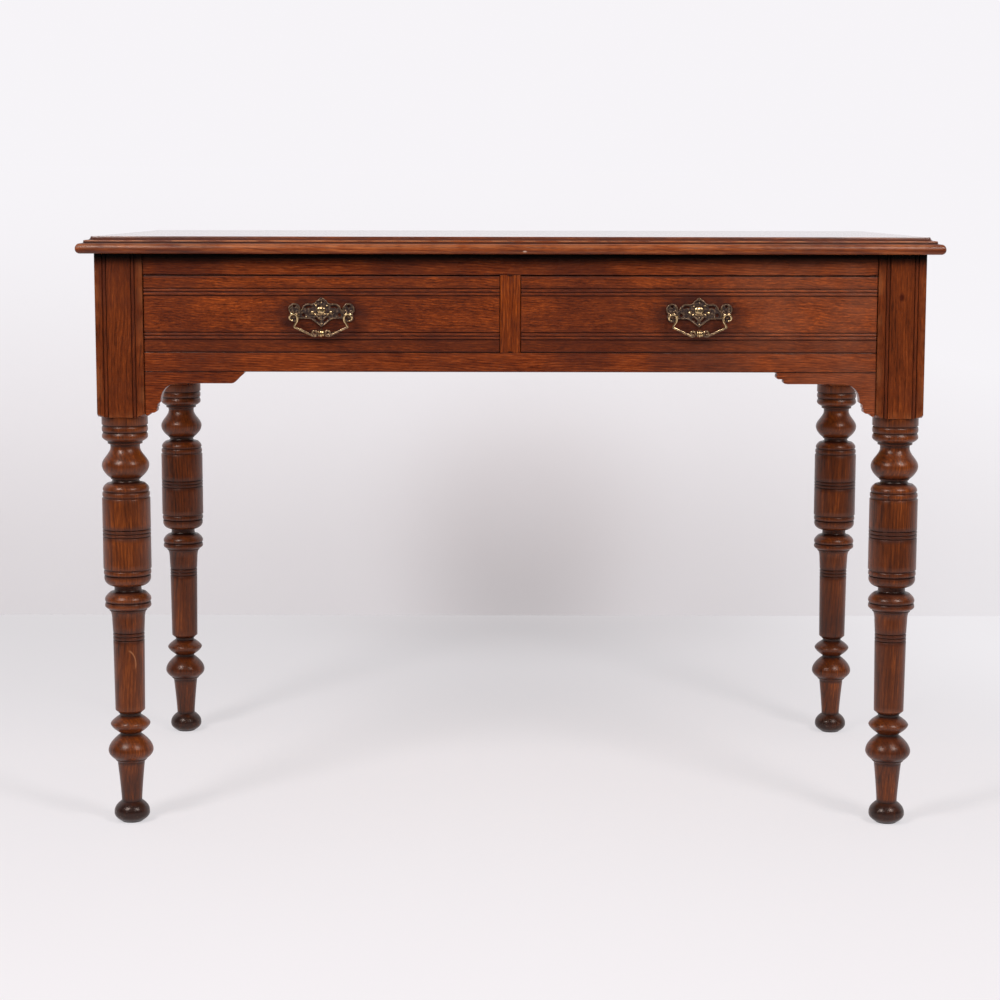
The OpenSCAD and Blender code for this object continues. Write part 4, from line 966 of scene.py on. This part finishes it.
def make_frame_boards():
    """The top, the rails, the muntin and the brackets."""
    add_piece("top_with_moulding", top_mesh(), TOP_OAK, "frame", ("top_board",))
    inner = LEG_X - LEG_SQ / 2
    back = RAIL_FRONT + 45
    for name, node, half, low, high, edge, material in (
            ("rail_above_drawers", "front_top_rail", inner, OPEN_HIGH, TOP_UNDER, 0.5, RAIL_OAK),
            ("rail_below_drawers", "front_bottom_rail", inner, APRON_LOW, OPEN_LOW, 0.5, RAIL_OAK),
            ("muntin_between_drawers", "centre_muntin", 12.5, OPEN_LOW, OPEN_HIGH, 0.6, MUNTIN_OAK)):
        mesh = board(name, (-half, RAIL_FRONT, low), (half, back, high), edge)
        add_piece(name, mesh, material, "frame", (node,))
    for side, sign in SIDES.items():
        bracket = f"{side}_bracket"
        add_piece(f"{side}_bracket_piece", bracket_mesh(sign), RAIL_OAK, "frame", (bracket,))


def bracket_mesh(sign):
    """The shaped bracket beside a front leg."""
    width, height, thick, arm, hollow_r, toe = 124.0, 55.0, 20.0, 14.5, 21.0, 16.0
    hollow_x = arm + hollow_r
    outline = [(0, 0), (width, 0), (width, -2)]
    if sign > 0:
        outline += arc((width - 2.6, -5.4), (2.6, 3), 60, -90, 10)
        outline += [(width - 7.5, -8.4)]
        outline += arc((width - 12, -11.4), (3.2, 3), 60, -60, 8)
        outline += [(width - 14, -arm)]
    else:
        # the bead and step at this tip broke away long ago and left a rough slope
        outline += [(width - 3, -4.8), (width - 6.5, -7.6), (width - 9, -10.6), (width - 12.4, -13.6),
                    (width - 15, -arm)]
    outline += arc((toe + 4 + hollow_r, -hollow_x), (hollow_r, hollow_r), 90, 180, 20)
    outline += [(toe + 4, -hollow_x - 2), (toe, -hollow_x - 5), (toe, -hollow_x - 9)]
    outline += arc((toe - 6, -hollow_x - 12), (5, 4), 45, -70, 8)
    outline += arc((3.4, -height + 3.6), (3.4, 3.6), 0, -150, 10)
    outline += [(0, -height + 5)]
    inner = LEG_X - LEG_SQ / 2
    placed = [(sign * (inner - x), APRON_LOW + z) for x, z in outline]
    return rounded("bracket", placed, "y", RAIL_FRONT, RAIL_FRONT + thick, 0.5, 30)


# The drawers

def reed_band(z, count=2, width=4.4, depth=1.5):
    """Grooves with rounded reeds between them, met from below: (depth into the front, height, hollow)."""
    out = [(0.0, z - 0.8, 0.2)]
    for k in range(count + 1):
        low = z + k * width
        out += [(depth, low - 0.12, 1.0), (depth, low + 0.12, 1.0)]
        if k < count:
            out += [(depth * (1 - sin(a)), low + width / 2 - (width / 2 - 0.14) * cos(a), 0.9 - 0.8 * sin(a))
                    for a in map(radians, range(12, 170, 12))]
    return out + [(0.0, z + count * width + 0.8, 0.2)]


def drawer_front_mesh(name, centre):
    """A drawer front: reeded face on a lap, thinner behind between the lapped dovetails."""
    soft = 0.7
    edge = [(LAP_T, 0.0, 0.0), (soft, 0.0, 0.9), (soft * 0.3, soft * 0.3, 0.6), (0.0, soft, 0.3),
            (0.0, 4.0, 0.0)]
    face = [(depth, DRAWER_LOW + z, mark) for depth, z, mark in edge]
    face += reed_band(DRAWER_LOW + 15.7)
    face += [(0.0, z, 0.0) for z in (636.0, 646.0, 658.0, 668.0)]
    face += reed_band(DRAWER_HIGH - 15.7 - 8.8)
    face += [(depth, DRAWER_HIGH - z, mark) for depth, z, mark in edge[::-1]]
    half = DRAWER_W / 2
    columns = [(-half, soft), (-half + soft * 0.3, soft * 0.3), (-half + soft, 0.0), (-half + 4, 0.0)]
    columns += [(x, 0.0) for x in (-150, -75, 0, 75, 150)]
    columns += [(-x, back) for x, back in columns[3::-1]]
    rows = [[(centre + x, RAIL_FRONT + min(LAP_T, max(depth, back)), z, max(mark, 0.8 if back > 0.3 else 0.0))
             for depth, z, mark in face] for x, back in columns]
    parts = [lofted("lap", rows, 35)]
    y0, y1 = RAIL_FRONT + LAP_T, RAIL_FRONT + FRONT_T
    inside = half - SIDE_T
    parts.append(board("core", (centre - inside, y0, DRAWER_LOW), (centre + inside, y1, DRAWER_HIGH), 0.3))
    # the pins between the tails of the drawer's side narrow towards the face
    pitch = (SIDE_HIGH - DRAWER_LOW) / 3
    root = pitch * 0.34
    tip = root + (FRONT_T - LAP_T) * 0.14
    middles = [DRAWER_LOW + pitch * (i + 0.5) for i in range(3)]
    lows = [(DRAWER_LOW, DRAWER_LOW)] + [(m + root, m + tip) for m in middles]
    highs = [(m - root, m - tip) for m in middles] + [(DRAWER_HIGH, DRAWER_HIGH)]
    for (low1, low0), (high1, high0) in zip(lows, highs):
        for start in (-half, inside):
            outline = [(y1, low1), (y1, high1), (y0, high0), (y0, low0)]
            parts.append(rounded("pin", outline, "x", centre + start, centre + start + SIDE_T, 0))
    return merged(name, parts, 32)


def make_drawers():
    """The two drawer fronts; the rest of the drawers shows as modelled."""
    for side, sign in SIDES.items():
        mesh = drawer_front_mesh(f"{side} drawer front", sign * DRAWER_X)
        add_piece(f"{side}_drawer_reeded_front", mesh, FRONT_OAK, f"{side}_drawer", (f"{side}_drawer_front",))


# The handles, each in the frame of its casting: x along the drawer, y up from the hinge line, z out

def inward(points, d):
    """An outline that runs anticlockwise, moved inward."""
    n = len(points)
    out = []
    for i, (x, y) in enumerate(points):
        dx, dy = points[(i + 1) % n][0] - points[i - 1][0], points[(i + 1) % n][1] - points[i - 1][1]
        size = hypot(dx, dy)
        out.append((x - dy / size * d, y + dx / size * d))
    return out


def panel_outline():
    """The pierced middle of a backplate: lower point, flat shoulders, humps and crest."""
    half = [(0, -13.8), (3.4, -11.4), (11.6, -5), (14.5, -3.7), (POST_HALF - 5, -3.4), (POST_HALF - 5.6, 5)]
    half += arc((15.5, 6.5), (9, 8.8), 12, 112, 16)
    half += arc((0, 16.2), (7.6, 4.6), 0, 55, 8)
    half += [(1.8, 22.2), (0, 23.3)]
    return half + [(-x, y) for x, y in half[-2:0:-1]]


EAR, LOBE = (POST_HALF, 8.2), (POST_HALF, -1.6)


def ring(centre, r, steps=28):
    """A whole round of points."""
    return arc(centre, (r, r), 0, 360 - 360 / steps, steps - 1)


def piercings():
    """The openings of the right half of a backplate."""
    return [arc((15.2, 6.4), (6.6, 6.2), 35, 130, 14) + arc((15.2, 6.4), (3.9, 3.6), 130, 35, 10),
            arc((0, 16.2), (3.8, 2.7), 15, 70, 7) + arc((0, 16.2), (2.2, 1.6), 70, 15, 6),
            smooth_path([(2.2, -2.8), (3, -8), (8.2, -4), (9.6, -2.3), (6, -2.2)], 4, True),
            smooth_path([(20.6, -0.4), (23.4, -0.8), (24.4, 1.4), (23, 3.6), (20.8, 2.8), (20, 1.2)],
                        4, True),
            ring((EAR[0], EAR[1] + 3.9), 2.0, 18)]


BUD = (0, 7.4, PLATE_T)
BUD_RADII = (5.6, 5.6, 3.9)


def polish(place):
    """How much hands have rubbed a place of the backplate; the flutes of the bud stay dark."""
    bright = 0.1 + 0.9 * ramp(place[2], PLATE_T + 0.5, PLATE_T + 2.2)
    x, y, z = ((place[i] - BUD[i]) / BUD_RADII[i] for i in range(3))
    if abs(y) < 0.95 and z > 0:
        across = hypot(x, z) / sqrt(1 - y * y)
        if 0.8 < across < 1.2:
            bright *= 0.5 + 0.5 * ramp(across, 0.91, 0.97)
    return bright


def backplate():
    """The pierced plate with its rims, petals, bosses and bud."""
    plate = Casting()
    panel = panel_outline()
    top = PLATE_T
    both = (1, -1)
    ear_from = 26

    def rim(outline, lift, thick, sides):
        plate.tube([(x, y, top + lift) for x, y in outline], thick, sides, True)

    holes = [[(x * k, y) for x, y in p] for k in both for p in piercings()]
    plate.plate([panel] + [h for h in holes if abs(h[0][0]) < ear_from], top)
    for k in both:
        ear_hole = [h for h in holes if h[0][0] * k > ear_from]
        plate.plate([ring((EAR[0] * k, EAR[1]), 7.5)] + ear_hole, top - 0.02)
        plate.plate([ring((LOBE[0] * k, LOBE[1]), 6.3)], top - 0.05)
    rim(inward(panel, 0.85), 0.15, 0.95, 10)
    # a fan of petals rises from the foot of the bud
    for a, reach, width, height in ((0, 6.0, 1.5, 1.9), (28, 7.6, 1.5, 1.9), (-28, 7.6, 1.5, 1.9),
                                    (52, 8.6, 1.4, 1.7), (-52, 8.6, 1.4, 1.7)):
        t = radians(a)
        plate.petal((0, -1.4), (reach * sin(t), -1.4 + reach * cos(t)), width, height, top, 1.7)
    plate.bud(BUD, BUD_RADII, 7, 0.09)
    for k in both:
        plate.boss((11.6 * k, 4.6, top), (2.3, 2.3, 2.6), 6, 0.08)
        for x, y, r, height in ((6.6, 12.6, 1.7, 2.0), (7.6, 1.9, 1.7, 2.3), (18.6, -1.2, 1.3, 1.4)):
            plate.boss((x * k, y, top), (r, r, height))
        # a scroll that leaves the stem and curls round the larger boss
        curl = [(k * (13 + 3.5 * cos(radians(a)) * f), 5.4 + 3.5 * sin(radians(a)) * f, top + 0.1)
                for a, f in ((215, 1.5), (235, 1.25), (260, 1.08), (290, 1.0), (320, 0.98), (350, 0.96),
                             (20, 0.94), (50, 0.9))]
        path = smooth_path([(1.0 * k, -5.2, top + 0.1), (4.0 * k, -2.6, top + 0.2)] + curl, 5)
        plate.tube(path, [1.05 - 0.5 * i / len(path) for i in range(len(path))], 10)
        plate.petal((0.6 * k, -3.2), (5.4 * k, -1.2), 1.1, 1.2, top, 1.3)
        ear_x = EAR[0] * k
        rim(ring((ear_x, EAR[1]), 6.4, 36), 0.1, 1.05, 10)
        rim(ring((ear_x, EAR[1] + 3.9), 2.5, 20), 0.0, 0.6, 8)
        rim(ring((LOBE[0] * k, LOBE[1]), 5.3, 30), -0.1, 0.8, 8)
        for out in both:
            plate.petal((ear_x, 3.2), (ear_x + 4.6 * out, 7.4), 1.3, 1.2, top, 1.4)
    plate.petal((0, 0), (0, -9.6), 1.2, 1.3, top, 0.7)
    plate.boss((0, -10.2, top), (1.5, 1.7, 1.5))
    plate.boss((0, 16.5, top), (1.4, 1.4, 1.7))
    plate.boss((0, 20.0, top + 0.2), (1.1, 1.1, 1.3))
    return plate


def posts():
    """Posts with a collar on the plate and a ball at the hinge line, threaded end inside the drawer."""
    made = Casting()
    end, foot, neck = -FRONT_T - 5, PLATE_T, HINGE_OUT - 4.0
    outline = [(end, 1.9), (end + 0.5, 2.25), (foot, 2.25), (foot, 3.6), (foot + 0.5, 3.9), (foot + 1.1, 3.6),
               (foot + 1.4, 2.6), (foot + 2.4, 2.0), (neck, 1.9), (neck + 1.1, 2.2), (neck + 1.4, 1.5)]
    for k in (1, -1):
        made.lathe(outline, (POST_HALF * k, 0, 0), (0, 0, 1), 28)
        made.boss((POST_HALF * k, 0, HINGE_OUT), (2.95, 2.95, 2.95), 0, 0, 14, 28)
    return made


def bail():
    """The hanging bail: a curl at each end, a bar down to a corner, a scroll, and a beaded grip."""
    made = Casting()
    wire, plane, curl = 1.5, 4.6, 4.9
    corner, bar, scroll, scroll_r = (32.5, -12.3), (31.0, -13.2), (8.6, -20.5), 3.7
    lug = POST_HALF - curl
    # half of the bail, from its free end round the post, down to the corner and along into the scroll
    path = arc((POST_HALF, 0), (curl * 0.82, curl * 0.86), -62, -48, 1)
    path += arc((POST_HALF, 0), (curl, curl), -32, 180, 22)
    path += smooth_path([(lug + 0.1, -1.5), (29.2, -4.6), (31.0, -7.6), (32.3, -10.0), (32.8, -11.9)], 4)
    path += [(32.6, -12.6), (32.0, -13.0), bar]
    steps, each, landing = 31, 13, -63
    turn = []
    for i in range(steps):
        a = radians(landing - each * i)
        r = scroll_r - max(0, i - 10) * 0.105
        turn.append((scroll[0] + r * cos(a), scroll[1] + r * sin(a)))
    path += [tuple(p + (q - p) * i / 9 for p, q in zip(bar, turn[0])) for i in range(1, 9)]
    radii = [min(wire, 0.75 + 0.12 * i) for i in range(len(path))]
    radii += [wire - 0.35 * i / steps for i in range(steps)]
    path += turn
    for k in (1, -1):
        made.lathe([(0, 1.3), (curl + 2.4, 1.3)], (lug * k, 0, 0), (k, 0, 0), 20)
        made.lathe([(-1.4, 1.1), (-1.1, 1.4), (plane - 0.4, 1.4)], (lug * k, 0, 0), (0, 0, 1), 20)
        made.tube([(x * k, y, plane) for x, y in path], radii, 14)
        for (x, y), lift, r, height in ((path[0], 0, 1.25, 1.25), (turn[-1], 0.2, 1.4, 1.5),
                                        (corner, 0, 1.65, 1.65)):
            made.boss((x * k, y, plane + lift), (r, r, height))
        made.lathe([(0, 1.0), (scroll[0] - scroll_r, 1.0)], (0, scroll[1], plane), (k, 0, 0), 14)
    beads = []
    for middle, r in ((-2.6, 4.3), (0, 5.35), (2.6, 4.3)):
        beads += [(middle + 1.35 * sin(a), r - 1.3 + 1.3 * cos(a)) for a in map(radians, range(-80, 81, 16))]
    made.lathe([(-4.0, 2.2)] + beads + [(4.0, 2.2)], (0, scroll[1], plane), (1, 0, 0), 32)
    made.lean(BAIL_LEAN, HINGE_OUT)
    return made


def make_handles():
    """Backplate, posts and bail of each drawer."""
    plate, post, swing = backplate(), posts(), bail()
    for side, sign in SIDES.items():
        for name, part, node, casting, rubbed in (
                ("backplate_casting", "drawer", "backplate", plate, polish),
                ("handle_posts", "drawer", "posts", post, lambda p: 0.35 * ramp(p[2], 4, HINGE_OUT + 2)),
                ("bail_casting", "bail", "bail", swing, lambda p: 0.32 + 0.58 * ramp(p[2], 9, 16))):
            mesh = casting.mesh(node, sign * DRAWER_X, rubbed)
            add_piece(f"{side}_{name}", mesh, BRASS, f"{side}_{part}", (f"{side}_{node}",))


# Materials of the solids that show as they are

def each_side(*parts):
    """The names of like nodes on the left and on the right."""
    return [f"{side}_{part}" for side in SIDES for part in parts]


CAD_FINISH = {
    SIDE_APRON_OAK: each_side("side_apron"), APRON_OAK: ["back_apron"],
    INSIDE_OAK_Y: each_side("runner", "guide", "kicker", "drawer_left_side", "drawer_right_side")
    + ["centre_runner", "centre_guide", "centre_kicker"],
    INSIDE_OAK_X: each_side("drawer_back"), BRASS: each_side("nuts"),
    PINE: each_side("drawer_bottom", "drawer_slips") + ["drawer_stops", "glue_blocks"],
    STEEL: each_side("drawer_screws") + ["top_screws"],
}


def finish_solids():
    """Gives the solids that show their materials."""
    for material, nodes in CAD_FINISH.items():
        for node in nodes:
            mesh = NODES[node].data
            mesh.materials.clear()
            mesh.materials.append(material)


# The studio

WALL = (0.925, 0.905, 0.935, 1)
WALL_Y = 1.22


def seen_rays(s):
    """1 for what the camera sees straight, in a mirror or through glass; and the kinds of ray."""
    rays = s.node("ShaderNodeLightPath").outputs
    seen = s.math("MAXIMUM", rays["Is Camera Ray"], rays["Is Glossy Ray"])
    return s.math("MAXIMUM", seen, rays["Is Transmission Ray"]), rays


def blend(s, factor, a, b):
    """A mix of two shaders."""
    return s.node("ShaderNodeMixShader", {0: factor, 1: a, 2: b}).outputs[0]


def pale_surface(s, where, share, away):
    """A pale diffuse surface that also glows by that share for seen rays, and looks darker by away in a
    mirror. Also says which rays see it."""
    scuff = s.span(s.noise(s.stretch(where, (1.2, 0.5, 1)), 1.0, 3), 0.35, 0.7)
    colour = s.mix(scuff, (0.81, 0.765, 0.785, 1), (0.84, 0.8, 0.82, 1))
    seen, rays = seen_rays(s)
    dark = s.times(rays["Is Glossy Ray"], away)
    colour = s.mix(dark, colour, (0.02, 0.02, 0.02, 1))
    glow = s.times(s.times(seen, share, clamp=True), s.minus(1.0, dark))
    diffuse = s.node("ShaderNodeBsdfDiffuse", {"Color": colour}).outputs[0]
    light = s.node("ShaderNodeEmission", {"Color": WALL}).outputs[0]
    return blend(s, glow, diffuse, light), seen


def shaded(s, base, right, shade, depth):
    """A glow that grows to the right and loses some of its depth in the shade of the desk."""
    return s.times(s.plus(base, right), s.minus(1.0, s.times(shade, depth)))


def make_floor():
    """A pale studio floor, a little lighter towards the right, as if by a window; in a mirror it is dark
    on the photographer's side."""
    bpy.ops.mesh.primitive_circle_add(vertices=96, radius=60, fill_type="NGON", location=(0, 0, 0))
    floor = bpy.context.object
    floor.name = "studio_floor"
    material, s = new_material("pale floor")
    where = s.place()
    x, y = coordinate(s, where, "X"), coordinate(s, where, "Y")
    right = s.times(s.span(x, 0.3, 0.9, 0.0, 0.3), s.span(y, -0.4, 1.0))
    shade = distance_mask(s, where, (0.03, WALL_Y, 0), (1, 1, 0), 0.05, 0.55)
    share = shaded(s, s.span(y, 0.2, 1.3, 0.6, 0.55), right, shade, 0.28)
    surface, seen = pale_surface(s, where, share, s.span(y, -1.5, -0.4, 0.93, 0.0))
    s.node("ShaderNodeOutputMaterial", {"Surface": surface})
    floor.data.materials.append(material)


def make_wall():
    """A pale wall behind the desk that catches its soft shadow, lighter above and to the right. It is
    seen from the front only and lets all light through."""
    half, top = 12.0, 6.0
    mesh = bpy.data.meshes.new("wall")
    corners = [(-half, WALL_Y, 0), (half, WALL_Y, 0), (half, WALL_Y, top), (-half, WALL_Y, top)]
    mesh.from_pydata(corners, [], [(0, 1, 2, 3)])
    wall = new_object("studio_wall", mesh)
    material, s = new_material("pale wall")
    where = s.place()
    right = s.span(coordinate(s, where, "X"), 0.35, 0.95, 0.0, 0.3)
    shade = distance_mask(s, where, (0.03, 0, 0.18), (1, 0, 1), 0.08, 0.36)
    share = shaded(s, s.span(coordinate(s, where, "Z"), 0.1, 0.85, 0.42, 1.0), right, shade, 0.45)
    surface, seen = pale_surface(s, where, share, 0.0)
    front = s.minus(1.0, s.node("ShaderNodeNewGeometry").outputs["Backfacing"])
    open_side = s.node("ShaderNodeBsdfTransparent").outputs[0]
    s.node("ShaderNodeOutputMaterial", {"Surface": blend(s, s.times(seen, front), open_side, surface)})
    mesh.materials.append(material)


def make_world():
    """Soft fill from all sides and a pale wall all round."""
    world = bpy.data.worlds.new("studio")
    bpy.context.scene.world = world
    world.use_nodes = True
    world.node_tree.nodes.clear()
    s = Shader(world.node_tree)
    seen, rays = seen_rays(s)
    # what a mirror shows of the room behind the photographer is dimmer than the wall behind the desk
    towards = s.node("ShaderNodeTexCoord").outputs["Generated"]
    dim = s.span(coordinate(s, towards, "Y"), 0.15, 0.85, 0.1, 1.0)
    strength = s.math("MAXIMUM", rays["Is Camera Ray"], dim)
    fill = s.node("ShaderNodeBackground", {"Color": (1.0, 0.98, 0.97, 1), "Strength": 0.4}).outputs[0]
    wall = s.node("ShaderNodeBackground", {"Color": WALL, "Strength": strength}).outputs[0]
    s.node("ShaderNodeOutputWorld", {"Surface": blend(s, seen, fill, wall)})


def make_lamp(name, x, power):
    """A soft box on the photographer's side, turned to the desk."""
    place = Vector((x, -1.85, 2.1))
    lamp = bpy.data.lights.new(name, "AREA")
    lamp.shape, lamp.size, lamp.size_y = "RECTANGLE", 0.6, 1.0
    lamp.energy, lamp.color = power, (1, 0.985, 0.975)
    obj = new_object(name, lamp)
    obj.location = place
    obj.rotation_mode = "QUATERNION"
    obj.rotation_quaternion = (Vector((0, -0.2, 0.5)) - place).to_track_quat("-Z", "Y")


def make_camera():
    """The photograph's viewpoint, found by fitting the legs and the corners of the top."""
    pitch, yaw, roll = radians(7.426), radians(0.0253), radians(0.0872)
    right = Vector((cos(yaw), sin(yaw), 0))
    level = Vector((-sin(yaw), cos(yaw), 0))
    forward = level * cos(pitch) - Vector((0, 0, 1)) * sin(pitch)
    up = level * sin(pitch) + Vector((0, 0, 1)) * cos(pitch)
    axis_x = right * cos(roll) + up * sin(roll)
    axis_y = up * cos(roll) - right * sin(roll)
    camera = bpy.data.cameras.new("camera")
    camera.sensor_width, camera.lens = 36.0, 36.0 * 2.3057
    camera.clip_start, camera.clip_end = 0.1, 100.0
    obj = new_object("camera", camera)
    turn = Matrix((axis_x, axis_y, -forward)).transposed().to_4x4()
    obj.matrix_world = Matrix.Translation((-0.0112, -3.1400, 0.7915)) @ turn
    bpy.context.scene.camera = obj


make_camera()
make_legs()
make_frame_boards()
make_drawers()
make_handles()
finish_solids()
make_floor()
make_wall()
make_world()
make_lamp("left softbox", -1.45, 38)
make_lamp("right softbox", 1.4, 33)
bpy.context.scene.view_settings.view_transform = "Standard"
